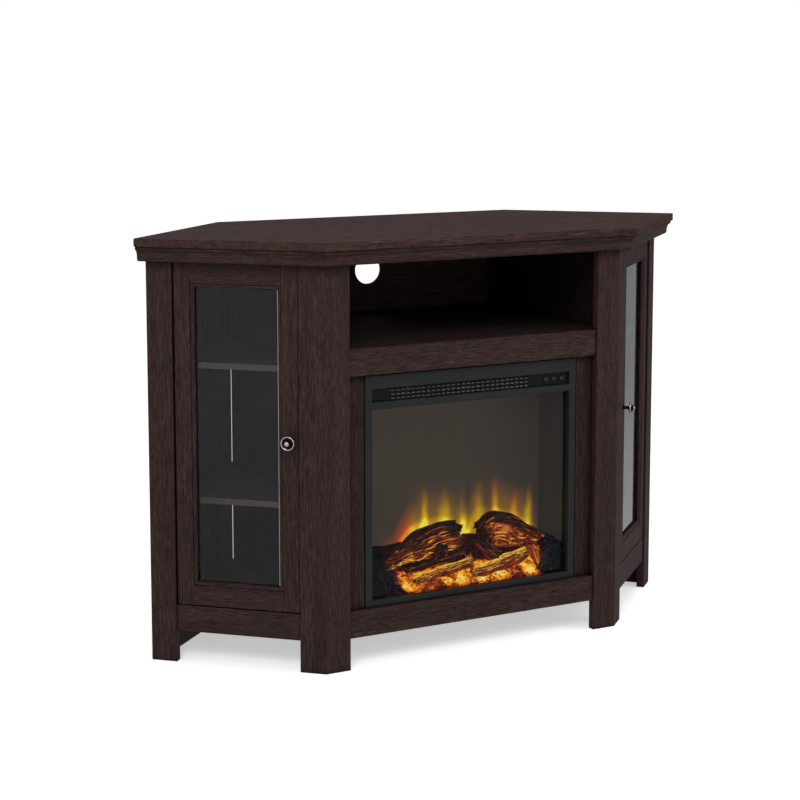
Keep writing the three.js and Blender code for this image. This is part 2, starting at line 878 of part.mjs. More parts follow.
function controlPanel() {
  const half = openingHalf - seam;
  const low = panelBottom + seam;
  const high = panelTop - seam;
  const flangeFront = frameDepth + seam;
  const flangeBack = flangeFront + panelSheet;
  const wide = half + panelFlange;
  let panel = joined(
    block(-half, half, panelSetback, flangeBack, low, high),
    block(-wide, wide, flangeFront, flangeBack, low - panelFlange, high + panelFlange),
  );
  const hollow = block(
    panelSheet - half,
    half - panelSheet,
    panelSetback + panelSheet,
    flangeBack + cutPast,
    low + panelSheet,
    high - panelSheet,
  );
  panel = panel.subtract(solid(hollow));
  for (let row = 0; row < louvreRows; row += 1) {
    const z = buttonHeight + (row - (louvreRows - 1) / 2) * louvreRowPitch;
    for (let column = 0; column < louvreColumns; column += 1) {
      const x = louvreMiddle + (column - (louvreColumns - 1) / 2) * louvrePitch;
      const slot = block(
        x - louvreWidth / 2,
        x + louvreWidth / 2,
        panelSetback - cutPast,
        panelSetback + panelSheet + cutPast,
        z - louvreHeight / 2,
        z + louvreHeight / 2,
      );
      panel = panel.subtract(solid(slot));
    }
  }
  for (let index = 0; index < 3; index += 1) {
    const hole = rod(
      buttonDiameter + 2 * seam,
      new THREE.Vector3(buttonX(index), panelSetback - cutPast, buttonHeight),
      new THREE.Vector3(buttonX(index), panelSetback + panelSheet + cutPast, buttonHeight),
      buttonSides,
    );
    panel = panel.subtract(solid(hole));
  }
  return panel;
}

addPiece(insert, "grille_panel", controlPanel(), blackPlastic);

// Push button: a domed cap on a collar that the panel keeps in
function buttonForm() {
  const radius = buttonDiameter / 2;
  const collarFront = -(panelSheet + seam);
  return new THREE.LatheGeometry(
    [
      new THREE.Vector2(0, collarFront - buttonCollar),
      new THREE.Vector2(buttonCollarDiameter / 2, collarFront - buttonCollar),
      new THREE.Vector2(buttonCollarDiameter / 2, collarFront),
      new THREE.Vector2(radius, collarFront),
      new THREE.Vector2(radius, buttonProud - buttonRound),
      new THREE.Vector2(radius - buttonRound, buttonProud),
      new THREE.Vector2(0, buttonProud),
    ],
    buttonSides,
  ).rotateX(Math.PI);
}

["power", "flame", "heat"].forEach((name, index) => {
  const x = buttonX(index);
  addPiece(insert, `${name}_button`, buttonForm(), blackPlastic, x, panelSetback, buttonHeight);
});

// Sheet-metal case: a box open to the front behind a flange, with a deck between fire and heater
const caseFront = glassBack + seam;
const caseBack = caseFront + caseDepth;
const caseHalf = insertWidth / 2 - caseInset;
const caseInner = caseHalf - sheet;
const caseTop = frameHeight - caseTopDrop;
const deckHeight = glassTop + deckRise;
const deckTop = deckHeight + sheet;
const screenFront = caseFront + screenSetback;
const spindleBack = screenFront + screenThickness + spindleBehindScreen;

function cross(x, diameter, y, z, length) {
  return rod(diameter, new THREE.Vector3(x, y, z), new THREE.Vector3(x + length, y, z), roundSides);
}

function fireboxCase() {
  const flangeHalf = caseHalf + flangeReach;
  let body = joined(
    block(-caseHalf, caseHalf, caseFront, caseBack, 0, caseTop),
    block(-flangeHalf, flangeHalf, caseFront, caseFront + sheet, 0, frameHeight - frameRound),
  );
  const fire = block(-caseInner, caseInner, caseFront - cutPast, caseBack - sheet, sheet, deckHeight);
  const heater = block(
    -caseInner,
    caseInner,
    caseFront - cutPast,
    caseBack - sheet,
    deckTop,
    caseTop - sheet,
  );
  body = body.subtract(solid(fire)).subtract(solid(heater));
  const ventMiddle = (deckTop + caseTop) / 2;
  for (let index = 0; index < ventCount; index += 1) {
    const x = (index - (ventCount - 1) / 2) * ventPitch;
    const vent = block(
      x - ventWidth / 2,
      x + ventWidth / 2,
      caseBack - sheet - cutPast,
      caseBack + cutPast,
      ventMiddle - ventHeight / 2,
      ventMiddle + ventHeight / 2,
    );
    body = body.subtract(solid(vent));
  }
  const glandHole = rod(
    glandDiameter + 2 * seam,
    new THREE.Vector3(caseHalf - glandInset, caseBack - sheet - cutPast, glandHeight),
    new THREE.Vector3(caseHalf - glandInset, caseBack + cutPast, glandHeight),
    glandSides,
  );
  const bearing = cross(
    -caseHalf - cutPast,
    spindleDiameter + 2 * seam,
    spindleBack,
    spindleHeight,
    2 * cutPast + sheet,
  );
  return body.subtract(solid(glandHole)).subtract(solid(bearing));
}

addPiece(insert, "firebox_case", fireboxCase(), blackSteel);

// Cord gland: a bushing snapped into the back of the case, with its bore for the cord
function glandForm() {
  const neck = glandDiameter / 2;
  const head = glandHeadDiameter / 2;
  return new THREE.LatheGeometry(
    [
      new THREE.Vector2(glandBore / 2, -sheet - glandHead),
      new THREE.Vector2(neck, -sheet - glandHead),
      new THREE.Vector2(neck, seam),
      new THREE.Vector2(head, seam),
      new THREE.Vector2(head - glandChamfer, seam + glandHead),
      new THREE.Vector2(glandBore / 2, seam + glandHead),
      new THREE.Vector2(glandBore / 2, -sheet - glandHead),
    ],
    glandSides,
  );
}

addPiece(insert, "cord_gland", glandForm(), blackPlastic, caseHalf - glandInset, caseBack, glandHeight);

const screen = block(
  seam - caseInner,
  caseInner - seam,
  screenFront,
  screenFront + screenThickness,
  sheet + seam,
  deckHeight - seam,
);
addPiece(insert, "flame_screen", screen, screenPlastic);

// A log is a cylinder bent along an arc in X and Z, with bark ridges that wander round it.
// Its places are shares: x and y of the log field, z of the height of the screen.
const logField = caseInner;
const fieldDepth = screenFront - caseFront;

function logForm({ start, end, rise, depth, girth, taper, twist, grow = 0 }) {
  const from = new THREE.Vector2(start[0] * logField, start[1] * deckHeight);
  const to = new THREE.Vector2(end[0] * logField, end[1] * deckHeight);
  const run = new THREE.Vector2().subVectors(to, from);
  const up = new THREE.Vector2(-run.y, run.x).normalize();
  const yMiddle = caseFront + depth * fieldDepth;
  return mapped(new THREE.CylinderGeometry(1, 1, 1, logSides, logColumns), (x, y, z) => {
    const along = 0.5 - y;
    const angle = Math.atan2(z, x);
    const bow = rise * deckHeight * Math.sin(Math.PI * along);
    const width = girth * deckHeight * (1 - taper * Math.abs(2 * along - 1) ** 3);
    const around = Math.sin(barkRidgeCount * angle + twist * along);
    const ridge = barkRidge * around * Math.cos(barkBreaks * along + twist);
    const reach = Math.hypot(x, z) * (width + ridge + grow);
    const ends = grow * (2 * along - 1);
    const lift = bow + reach * Math.cos(angle);
    const step = along + ends / run.length();
    return [
      from.x + run.x * step + up.x * lift,
      yMiddle + reach * Math.sin(angle),
      from.y + run.y * step + up.y * lift,
    ];
  });
}

const logShares = {
  log_left: {
    start: [-0.65, 0.16],
    end: [-0.01, 0.26],
    rise: 0.035,
    depth: 0.58,
    girth: 0.07,
    taper: 0.5,
    twist: 2,
  },
  log_right: {
    start: [0.24, 0.28],
    end: [0.9, 0.185],
    rise: 0.05,
    depth: 0.6,
    girth: 0.082,
    taper: 0.45,
    twist: 4,
  },
};
const frontLogShares = [
  {
    start: [-0.49, 0.08],
    end: [0.09, 0.11],
    rise: 0.012,
    depth: 0.36,
    girth: 0.034,
    taper: 0.35,
    twist: 1,
  },
  {
    start: [0.08, 0.075],
    end: [0.66, 0.125],
    rise: 0.01,
    depth: 0.33,
    girth: 0.036,
    taper: 0.35,
    twist: 5,
  },
  {
    start: [0.1, 0.22],
    end: [0.42, 0.17],
    rise: 0.01,
    depth: 0.62,
    girth: 0.045,
    taper: 0.25,
    twist: 3,
  },
];

// Ember bed: one moulding that climbs towards the screen, with lumps and raised ends
function emberBed() {
  const half = caseInner - seam;
  const front = caseFront + bedGap;
  const back = screenFront - seam;
  const base = sheet + seam;
  const slab = new THREE.BoxGeometry(2 * half, back - front, 1, bedColumns, bedRows, 1);
  const bed = mapped(slab, (x, y, z) => {
    const depth = (y + (back - front) / 2) / (back - front);
    const wave = Math.sin((2 * Math.PI * x) / emberPitch);
    const lump = emberLump * wave * Math.cos((2 * Math.PI * y) / emberRowPitch + x / emberPitch);
    const rim = THREE.MathUtils.smoothstep(Math.abs(x), half - bedSideWidth, half - bedSideWidth / 3);
    const crest = THREE.MathUtils.lerp(bedFront, bedBack, depth ** 2) + lump * (1 - rim) * depth;
    const height = THREE.MathUtils.lerp(crest, Math.max(crest, bedSide), rim * Math.min(1, depth * 2));
    return [x, y + (front + back) / 2, z > 0 ? height : base];
  });
  let moulding = solid(bed);
  for (const shares of frontLogShares) moulding = moulding.add(solid(logForm(shares)));
  for (const shares of Object.values(logShares)) {
    moulding = moulding.subtract(solid(logForm({ ...shares, grow: seam })));
  }
  // The seats of the logs can leave loose crumbs of a front log, which fall away
  const [largest] = moulding.decompose().sort((a, b) => b.volume() - a.volume());
  return largest;
}

addPiece(insert, "ember_bed", emberBed(), emberResin);
addPiece(insert, "log_left", logForm(logShares.log_left), logResin);
addPiece(insert, "log_right", logForm(logShares.log_right), logResin);

// Flicker spindle: a thin shaft with reflecting flaps, from a hole in the case to its motor
const motorFace = caseInner - seam - motorLength;
const shaftStart = -caseHalf;
const shaftEnd = motorFace - motorBoss - seam;

function flickerSpindle() {
  let spindle = solid(cross(shaftStart, spindleDiameter, 0, 0, shaftEnd - shaftStart));
  const pitch = (shaftEnd + caseInner - 2 * flapReach) / flapCount;
  for (let index = 0; index < flapCount; index += 1) {
    const x = flapReach - caseInner + (index + 0.5) * pitch;
    const flap = new THREE.BoxGeometry(flapLength, flapThickness, 2 * flapReach)
      .rotateX((index * Math.PI) / 3)
      .translate(x, 0, 0);
    spindle = spindle.add(solid(flap));
  }
  return spindle;
}

addPiece(insert, "flame_spindle", flickerSpindle(), steel, 0, spindleBack, spindleHeight);

const spindleMotor = joined(
  cross(motorFace, motorDiameter, 0, 0, motorLength),
  cross(motorFace - motorBoss, motorBossDiameter, 0, 0, motorBoss + motorLength / 2),
);
addPiece(insert, "spindle_motor", spindleMotor, blackPlastic, 0, spindleBack, spindleHeight);

// Heater duct: an open-fronted sheet channel on the deck, whose ends carry the blower
const ductFoot = deckTop + seam;
const ductTop = caseTop - sheet - seam;
const ductFront = caseFront + ductFrontGap;
const blowerY = ductFront + ductDepth / 2;
const blowerZ = (ductFoot + ductTop) / 2;

function heaterDuct() {
  const half = ductWidth / 2;
  const channel = solid(block(-half, half, ductFront, ductFront + ductDepth, ductFoot, ductTop));
  const hollow = block(
    sheet - half,
    half - sheet,
    ductFront - cutPast,
    ductFront + ductDepth - sheet,
    ductFoot + sheet,
    ductTop - sheet,
  );
  const shaftHole = cross(
    -half - cutPast,
    spindleDiameter + 2 * seam,
    blowerY,
    blowerZ,
    ductWidth + 2 * cutPast,
  );
  return channel.subtract(solid(hollow)).subtract(solid(shaftHole));
}

addPiece(insert, "heater_duct", heaterDuct(), steel);

// Blower: a drum of curved-in blades between two end discs on one shaft
function blowerWheel() {
  const half = ductWidth / 2 - blowerPlay;
  let wheel = joined(
    cross(-ductWidth / 2, spindleDiameter, 0, 0, ductWidth),
    cross(-half, blowerDiameter, 0, 0, sheet),
    cross(half - sheet, blowerDiameter, 0, 0, sheet),
  );
  const rim = blowerDiameter / 2 - bladeWidth / 2 - bladeThickness;
  for (let index = 0; index < blowerBlades; index += 1) {
    const reach = half - sheet / 2;
    const blade = new THREE.BoxGeometry(2 * reach, bladeThickness, bladeWidth)
      .rotateX(Math.PI / 6)
      .translate(0, 0, rim)
      .rotateX((2 * Math.PI * index) / blowerBlades);
    wheel = wheel.add(solid(blade));
  }
  return wheel;
}

addPiece(insert, "blower_wheel", blowerWheel(), steel, 0, blowerY, blowerZ);

export default stand;
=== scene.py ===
import math

import bmesh
import bpy
from mathutils import Matrix, Vector, noise


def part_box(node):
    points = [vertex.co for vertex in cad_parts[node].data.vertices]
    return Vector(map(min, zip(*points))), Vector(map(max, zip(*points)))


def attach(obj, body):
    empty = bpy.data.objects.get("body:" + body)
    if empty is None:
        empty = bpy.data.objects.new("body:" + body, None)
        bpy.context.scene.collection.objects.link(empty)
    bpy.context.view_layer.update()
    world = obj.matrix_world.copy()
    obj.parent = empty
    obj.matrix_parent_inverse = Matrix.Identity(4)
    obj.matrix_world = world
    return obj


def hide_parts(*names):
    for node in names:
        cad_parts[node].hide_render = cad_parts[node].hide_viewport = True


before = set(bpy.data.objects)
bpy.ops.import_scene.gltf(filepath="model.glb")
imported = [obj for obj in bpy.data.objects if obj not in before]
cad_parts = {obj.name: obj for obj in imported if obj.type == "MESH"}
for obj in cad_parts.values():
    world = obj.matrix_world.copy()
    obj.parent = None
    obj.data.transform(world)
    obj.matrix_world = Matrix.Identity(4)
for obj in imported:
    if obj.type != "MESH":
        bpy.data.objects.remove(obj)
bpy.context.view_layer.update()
scene = bpy.context.scene
scene.view_settings.view_transform = "Standard"

# Camera: left of the middle and a little above the top panel, as in the photograph.
# The small shift holds the photograph's framing, with the cabinet below the lens axis.
camera = bpy.data.objects.new("camera", bpy.data.cameras.new("camera"))
scene.collection.objects.link(camera)
scene.camera = camera
camera.location = (-1.8002, -3.2803, 1.1398)
camera.rotation_euler = (math.radians(90 - 7.405), 0, math.radians(-28.04))
camera.data.sensor_width = 36
camera.data.lens = 84.75
camera.data.shift_y = -0.12


# Studio: a pale floor that runs out to a white surround, one large soft lamp high at the front
# left and a weaker one at the right, at a level where colours come out about as written.
# What the glass and the finishes reflect is dimmer towards the right, as in a room lit from the left.
def linear(hex_color):
    """An sRGB hex colour as linear red, green, blue and alpha."""
    values = [int(hex_color[i : i + 2], 16) / 255 for i in (1, 3, 5)]
    return [v / 12.92 if v <= 0.04045 else ((v + 0.055) / 1.055) ** 2.4 for v in values] + [1.0]


def add(tree, kind, inputs=(), stops=(), **settings):
    """Adds one shader node with its settings, input values, links and colour stops.

    Inputs come in the node's own order or by name. A node among them gives its first live output.
    """
    made = tree.nodes.new("ShaderNode" + kind)
    for name, value in settings.items():
        setattr(made, name, value)
    if isinstance(inputs, dict):
        pairs = [(made.inputs[name], value) for name, value in inputs.items()]
    else:
        pairs = zip([socket for socket in made.inputs if socket.enabled], inputs)
    for socket, value in pairs:
        if isinstance(value, bpy.types.Node):
            value = next(output for output in value.outputs if output.enabled)
        if isinstance(value, bpy.types.NodeSocket):
            tree.links.new(value, socket)
        else:
            socket.default_value = value
    if stops:
        elements = made.color_ramp.elements
        for at, color in stops[1:-1]:
            elements.new(at)
        for element, (at, color) in zip(elements, stops):
            element.position = at
            element.color = linear(color)
    return made


WHITE = linear("#ffffff")
SOFT_SURROUND = 0.55
ROOM_DIM = 0.42
ROOM_EAST = (-0.9, 0.85)  # the part of the room, from left to right, over which it dims
world = bpy.data.worlds.new("white surround")
scene.world = world
world.use_nodes = True
tree = world.node_tree
tree.nodes.clear()
path = add(tree, "LightPath").outputs
seen = add(tree, "Math", (path["Is Camera Ray"], path["Is Transmission Ray"]), operation="MAXIMUM")
soft = add(tree, "Background", (WHITE, SOFT_SURROUND))
shown = add(tree, "Background", (WHITE, 1.0))
both = add(tree, "MixShader", (seen, soft, shown))
way = add(tree, "SeparateXYZ", (add(tree, "TexCoord").outputs["Generated"],)).outputs
room = add(tree, "MapRange", (way["X"], *ROOM_EAST, 1.0, ROOM_DIM))
room = add(tree, "Background", (WHITE, room))
both = add(tree, "MixShader", (path["Is Glossy Ray"], both, room))
add(tree, "OutputWorld", (both,))


def lamp(name, place, aim, size, power):
    """A round lamp of a size in metres, aimed at a point."""
    light = bpy.data.lights.new(name, "AREA")
    light.shape = "DISK"
    light.size = size
    light.energy = power
    made = bpy.data.objects.new(name, light)
    scene.collection.objects.link(made)
    made.location = place
    made.rotation_euler = (Vector(aim) - Vector(place)).to_track_quat("-Z", "Y").to_euler()


def finish(name):
    """A new material and its empty node tree."""
    made = bpy.data.materials.new(name)
    made.use_nodes = True
    made.node_tree.nodes.clear()
    return made, made.node_tree


LAMP_AIM = (0, 0, 0.4)
lamp("key lamp", (-2.6, -3.4, 3.6), LAMP_AIM, 2.2, 95)
lamp("fill lamp", (3.4, -2.6, 2.4), LAMP_AIM, 2.4, 56)

FLOOR_REACH = 30.0
FLOOR_DIM_REACH = 3.0
PAPER_GLOW = 0.5
mesh = bpy.data.meshes.new("floor")
shape = bmesh.new()
bmesh.ops.create_grid(shape, x_segments=1, y_segments=1, size=FLOOR_REACH)
shape.to_mesh(mesh)
shape.free()
floor = bpy.data.objects.new("floor", mesh)
scene.collection.objects.link(floor)
paper, tree = finish("white studio paper")
path = add(tree, "LightPath").outputs
matte = add(tree, "BsdfDiffuse", (linear("#f4f4f4"),))
glow = add(tree, "Emission", (WHITE, PAPER_GLOW))
lit = add(tree, "AddShader", (matte, glow))
seen = add(tree, "Math", (path["Is Camera Ray"], path["Is Transmission Ray"]), operation="MAXIMUM")
both = add(tree, "MixShader", (seen, matte, lit))
way = add(tree, "SeparateXYZ", (add(tree, "TexCoord").outputs["Object"],)).outputs
room = add(tree, "MapRange", (way["X"], -FLOOR_DIM_REACH, FLOOR_DIM_REACH, 1.0, ROOM_DIM))
room = add(tree, "Emission", (WHITE, room))
both = add(tree, "MixShader", (path["Is Glossy Ray"], both, room))
add(tree, "OutputMaterial", (both,))
floor.data.materials.append(paper)

# Carcass boards: particle board wrapped in a dark espresso laminate with a printed and pressed
# open grain. The grain runs up the posts and panels and along the rails, crown and top.
# The eye sees fine dark pore lines over broad bands that drift from brown to a cooler grey brown.
SIDES = (("left", -1), ("right", 1))
TOP_FRONT_HALF = 0.3387  # half of the top panel's front edge, where its slanted edges begin
top_low, top_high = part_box("top_panel")
SLANT = math.atan2(-top_low.y, top_high.x - TOP_FRONT_HALF)
PORE_WIDTH_MM = 1.7  # drawn a little wider than the real pores, so that they show from a step away
PORE_LENGTH_MM = 34.0
PORE_DEPTH = 0.0003
UP = (PORE_WIDTH_MM, PORE_WIDTH_MM, PORE_LENGTH_MM)
ALONG = (PORE_LENGTH_MM, PORE_WIDTH_MM, PORE_WIDTH_MM)
BOARD_EASE = 0.0009  # how far the board's edges look rounded
CREASE = 0.016  # how far the shade reaches out of an inner corner


def laminate(name, sizes_mm, turn=0.0, shade=1.0, shine=0.09):
    """Espresso laminate: sizes are the length and width of one streak of grain on X, Y and Z."""
    made, tree = finish(name)
    place = add(tree, "TexCoord").outputs["Object"]

    def grain(scale, detail, rough, warp):
        size = [value / 1000 * scale for value in sizes_mm]
        turned = {"Vector": place, "Rotation": (0, 0, turn), "Scale": size}
        fit = add(tree, "Mapping", turned, vector_type="TEXTURE")
        inputs = {"Vector": fit, "Scale": 1.0, "Detail": detail, "Roughness": rough, "Distortion": warp}
        return add(tree, "TexNoise", inputs)

    streak = grain(1.0, 5.0, 0.75, 0.06)
    pore = grain(0.5, 3.0, 0.7, 0.05)
    band = grain(9.0, 2.0, 0.5, 0.8)
    browns = ((0.34, "#231716"), (0.5, "#332524"), (0.68, "#4b3733"))
    wood = add(tree, "ValToRGB", (streak,), browns)
    drift = add(tree, "MapRange", (band, 0.35, 0.65, 0.85 * shade, 1.15 * shade))
    tone = add(tree, "Mix", (1.0, wood, drift), data_type="RGBA", blend_type="MULTIPLY")
    line = add(tree, "MapRange", (pore, 0.38, 0.5, 0.55, 1.0))
    lined = add(tree, "Mix", (1.0, tone, line), data_type="RGBA", blend_type="MULTIPLY")
    # Painted shade: the colour darkens in inner corners, creases and gaps, out to CREASE.
    crease = add(tree, "AmbientOcclusion", {"Distance": CREASE}, samples=6).outputs["AO"]
    crease = add(tree, "MapRange", (crease, 0.35, 0.85, 0.15, 1.0))
    crease_shaded = add(tree, "Mix", (1.0, lined, crease), data_type="RGBA", blend_type="MULTIPLY")
    dull = add(tree, "MapRange", (streak, 0.3, 0.7, 0.74, 0.62))
    height = add(tree, "Math", (line, streak), operation="ADD")
    edge = add(tree, "Bevel", {"Radius": BOARD_EASE}, samples=4)
    pressed = {"Height": height, "Strength": 0.5, "Distance": PORE_DEPTH, "Normal": edge}
    bump = add(tree, "Bump", pressed)
    looks = {"Base Color": crease_shaded, "Roughness": dull, "Specular IOR Level": shine, "Normal": bump}
    surface = add(tree, "BsdfPrincipled", looks)
    add(tree, "OutputMaterial", (surface,))
    return made


def dress(material, *nodes):
    """Gives CAD nodes a material in place of their plain one."""
    for name in nodes:
        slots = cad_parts[name].data.materials
        slots.clear()
        slots.append(material)


upright = laminate("espresso laminate, upright grain", UP)
level = laminate("espresso laminate, level grain", ALONG)
level_left = laminate("espresso laminate, grain along the left face", ALONG, -SLANT)
level_right = laminate("espresso laminate, grain along the right face", ALONG, SLANT)
# The top is a lighter copy of the same laminate with little gloss: light from above painted into its
# colour.
lit_level_top = laminate("espresso laminate, top, painted lighter", ALONG, shade=1.4, shine=0.03)
# The fillers, set back behind the posts, take a darker copy of the laminate: painted shade.
shaded_set_back = laminate("espresso laminate, set back, painted shade", UP, shade=0.74)
# The dividers, shelves, lippings and glue blocks inside take darker copies: the shade inside the
# cabinet, painted.
shaded_inner_upright = laminate("inner laminate in painted shade, upright grain", UP, shade=0.4)
shaded_inner_level = laminate("inner laminate in painted shade, level grain", ALONG, shade=0.6)
# The media bay's back takes a lighter copy of the laminate: painted light.
lit_inner_back = laminate("inner laminate in painted light, back", ALONG, shade=1.6)
dress(lit_level_top, "top_panel")
dress(level, "crown_front", "lower_rail_front", "mantel_rail", "top_rail_front")
dress(level_left, "crown_left", "lower_rail_left", "top_rail_left")
dress(level_right, "crown_right", "lower_rail_right", "top_rail_right")
dress(upright, "front_post_left", "front_post_right", "tip_post_left", "tip_post_right")
dress(upright, "side_panel_left", "side_panel_right")
dress(shaded_set_back, "filler_left", "filler_right")
dress(lit_inner_back, "media_back_panel")
dress(shaded_inner_upright, "divider_left", "divider_right")
dress(shaded_inner_level, "media_shelf", "bottom_panel")
for side, _ in SIDES:
    dress(shaded_inner_level, f"{side}_upper_shelf", f"{side}_lower_shelf")


def piece(name, shape, *materials):
    """Turns a finished bmesh into an object with its materials."""
    bmesh.ops.recalc_face_normals(shape, faces=shape.faces)
    mesh = bpy.data.meshes.new(name)
    shape.to_mesh(mesh)
    shape.free()
    made = bpy.data.objects.new(name, mesh)
    scene.collection.objects.link(made)
    for material in materials:
        mesh.materials.append(material)
    return made


def strip(name, start, end, out, width, depth, material):
    """A thin strip with eased edges from start to end, as deep as depth on its outward side."""
    shape = bmesh.new()
    bmesh.ops.create_cube(shape, size=1)
    run = end - start
    wide = Vector((0, 0, 1)) if abs(run.z) < run.length / 2 else out.cross(Vector((0, 0, 1)))
    for vert in shape.verts:
        corner = vert.co + Vector((0, 0.5, 0.5))
        vert.co = start + run * corner.z + wide * (corner.x * width) + out * (corner.y * depth)
    eased = min(width, depth) * STRIP_EASE_SHARE
    bmesh.ops.bevel(
        shape, geom=shape.edges[:], offset=eased, affect="EDGES", segments=2, profile=0.5, material=-1
    )
    return piece(name, shape, material)


# Lippings and glue blocks: a narrow strip of the inner laminate glued on the rear edge of each
# divider under the media bay, where it leaves a hairline of light at the slanted side panel, and a
# slender block glued up the same corner of each upper compartment.
STRIP_EASE_SHARE = 0.2
LIPPING = 0.0034
LIPPING_FOOT_GAP = 0.0004
LIPPING_TOP_GAP = 0.0006
GLUE_BLOCK = 0.004
GLUE_BLOCK_INWARD = 0.0050
GLUE_BLOCK_FOOT_GAP = 0.0015
GLUE_BLOCK_TOP_GAP = 0.0010
HAIRLINE = 0.0002  # left between a small piece and what carries it
rearward = Vector((0, 1, 0))
bay_low, bay_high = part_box("media_back_panel")
for side, turn in SIDES:
    low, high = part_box(f"divider_{side}")
    inner, outer = (high.x, bay_low.x) if side == "left" else (low.x, bay_high.x)
    foot = Vector(((inner + outer) / 2, high.y + HAIRLINE, low.z + LIPPING_FOOT_GAP))
    top = Vector((foot.x, foot.y, bay_low.z - LIPPING_TOP_GAP))
    width = abs(inner - outer) - 2 * HAIRLINE
    lipping = strip(f"divider_lipping_{side}", foot, top, rearward, width, LIPPING, shaded_inner_upright)
    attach(lipping, "cabinet")
    corner = outer + turn * (GLUE_BLOCK / 2 + HAIRLINE)
    shelf_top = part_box(f"{side}_upper_shelf")[1].z
    foot = Vector((corner, high.y - GLUE_BLOCK_INWARD, shelf_top + GLUE_BLOCK_FOOT_GAP))
    top = Vector((foot.x, foot.y, bay_high.z - GLUE_BLOCK_TOP_GAP))
    block = strip(f"glue_block_{side}", foot, top, rearward, GLUE_BLOCK, GLUE_BLOCK, shaded_inner_upright)
    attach(block, "cabinet")


# Shelf edge bands: a laminate band ironed on the front edge of each cabinet shelf, painted paler as the
# highlight of the lit edge. Against the dark compartments the eye sees it as one thin grey line.
def skin(name, color, rough, metal, grit_mm, height_mm, gloss=0.5):
    """A finish of one colour with a fine grit, such as powder coat, moulded plastic or cast metal."""
    made, tree = finish(name)
    place = add(tree, "TexCoord").outputs["Object"]
    grit = add(tree, "TexNoise", {"Vector": place, "Scale": 1000 / grit_mm, "Detail": 2.0})
    cloud = add(tree, "TexNoise", {"Vector": place, "Scale": CLOUDS_PER_METRE, "Detail": 3.0})
    shade = add(tree, "MapRange", (cloud, 0.3, 0.7, 0.86, 1.1))
    tinted = add(tree, "Mix", (1.0, linear(color), shade), data_type="RGBA", blend_type="MULTIPLY")
    dull = add(tree, "MapRange", (cloud, 0.3, 0.7, rough - 0.06, rough + 0.06))
    edge = add(tree, "Bevel", {"Radius": PART_EASE}, samples=4)
    rough_skin = {"Height": grit, "Strength": 0.4, "Distance": height_mm / 1000, "Normal": edge}
    bump = add(tree, "Bump", rough_skin)
    looks = {"Base Color": tinted, "Metallic": metal, "Roughness": dull, "Normal": bump}
    surface = add(tree, "BsdfPrincipled", looks | {"Specular IOR Level": gloss})
    add(tree, "OutputMaterial", (surface,))
    return made


def face_ways(turn):
    """The way out of a slanted face and the way along it, for the left face -1 and the right 1."""
    outward = Vector((turn * math.sin(SLANT), -math.cos(SLANT), 0))
    across = Vector((math.cos(SLANT), turn * math.sin(SLANT), 0))
    return outward, across


PART_EASE = 0.0008  # how far the edges of a small part look rounded
CLOUDS_PER_METRE = 9.0
BAND = 0.0008
BAND_MARGIN = 0.004
# Its pale grey is a painted highlight on the shelf's front edge.
band = skin("edge band, painted highlight", "#463d39", 0.6, 0.0, 1.5, 0.02, 0.2)
for side, turn in SIDES:
    outward = face_ways(turn)[0]
    for height in ("upper", "lower"):
        low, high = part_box(f"{side}_{height}_shelf")
        inner, outer = (high.x, low.x) if side == "left" else (low.x, high.x)
        middle = (low.z + high.z) / 2
        start = Vector((inner, low.y, middle))
        end = Vector((outer, low.y + abs(outer - inner) * math.tan(SLANT), middle))
        margin = (end - start).normalized() * BAND_MARGIN
        thickness = high.z - low.z - 2 * HAIRLINE
        name = f"{side}_{height}_shelf_band"
        made = strip(name, start + margin, end - margin * 2, outward, thickness, BAND, band)
        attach(made, "cabinet")


# Doors: stiles and rails of the same laminate hold a pane of clear float glass, 3 mm, in a groove
# behind their bead, and turn on steel pins. A vinyl bead is snapped in beside the pane, in a pale grey
# that is a painted highlight along the pane's edge.
# Light for shadows passes straight through the glass, so the shelves behind are lit.
def pane_glass(name, tint, bend):
    """Clear glass. Bend is its index of refraction, set low so that it mirrors little of the room."""
    made, tree = finish(name)
    looks = {"Base Color": linear(tint), "Roughness": 0.01, "Transmission Weight": 1.0, "IOR": bend}
    surface = add(tree, "BsdfPrincipled", looks)
    shadow = add(tree, "LightPath").outputs["Is Shadow Ray"]
    clear = add(tree, "BsdfTransparent", (linear(tint),))
    both = add(tree, "MixShader", (shadow, surface, clear))
    add(tree, "OutputMaterial", (both,))
    return made


dress(level_left, "left_door_bottom_rail", "left_door_top_rail")
dress(level_right, "right_door_bottom_rail", "right_door_top_rail")
dress(pane_glass("clear float glass", "#e4e6ea", 1.26), "left_door_glass", "right_door_glass")
pin = skin("plain steel pin", "#a3a3a3", 0.3, 1.0, 0.6, 0.01)
# The bead's pale grey paints the highlight along the pane's edge.
vinyl = skin("pale vinyl bead, painted highlight", "#c4c4cc", 0.25, 0.0, 2.0, 0.01)
BEAD = 0.0014
BEAD_REACH = 0.0010
BEAD_END_GAP = Vector((0, 0, 0.0004))
for side, turn in SIDES:
    dress(upright, f"{side}_door_lock_stile", f"{side}_door_hinge_stile")
    dress(pin, f"{side}_door_lower_pivot", f"{side}_door_upper_pivot")
    outward, across = face_ways(turn)
    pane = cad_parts[f"{side}_door_glass"].data.vertices
    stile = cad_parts[f"{side}_door_lock_stile"].data.vertices
    pane_face = max(vert.co.dot(outward) for vert in pane)
    stile_edge = max(turn * vert.co.dot(across) for vert in stile)
    spot = outward * (pane_face + HAIRLINE) + across * (turn * (stile_edge + BEAD / 2 + HAIRLINE))
    foot = spot + Vector((0, 0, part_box(f"{side}_door_bottom_rail")[1].z)) + BEAD_END_GAP
    top = spot + Vector((0, 0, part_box(f"{side}_door_top_rail")[0].z)) - BEAD_END_GAP
    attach(strip(f"{side}_pane_bead", foot, top, outward, BEAD, BEAD_REACH, vinyl), f"{side}_door")
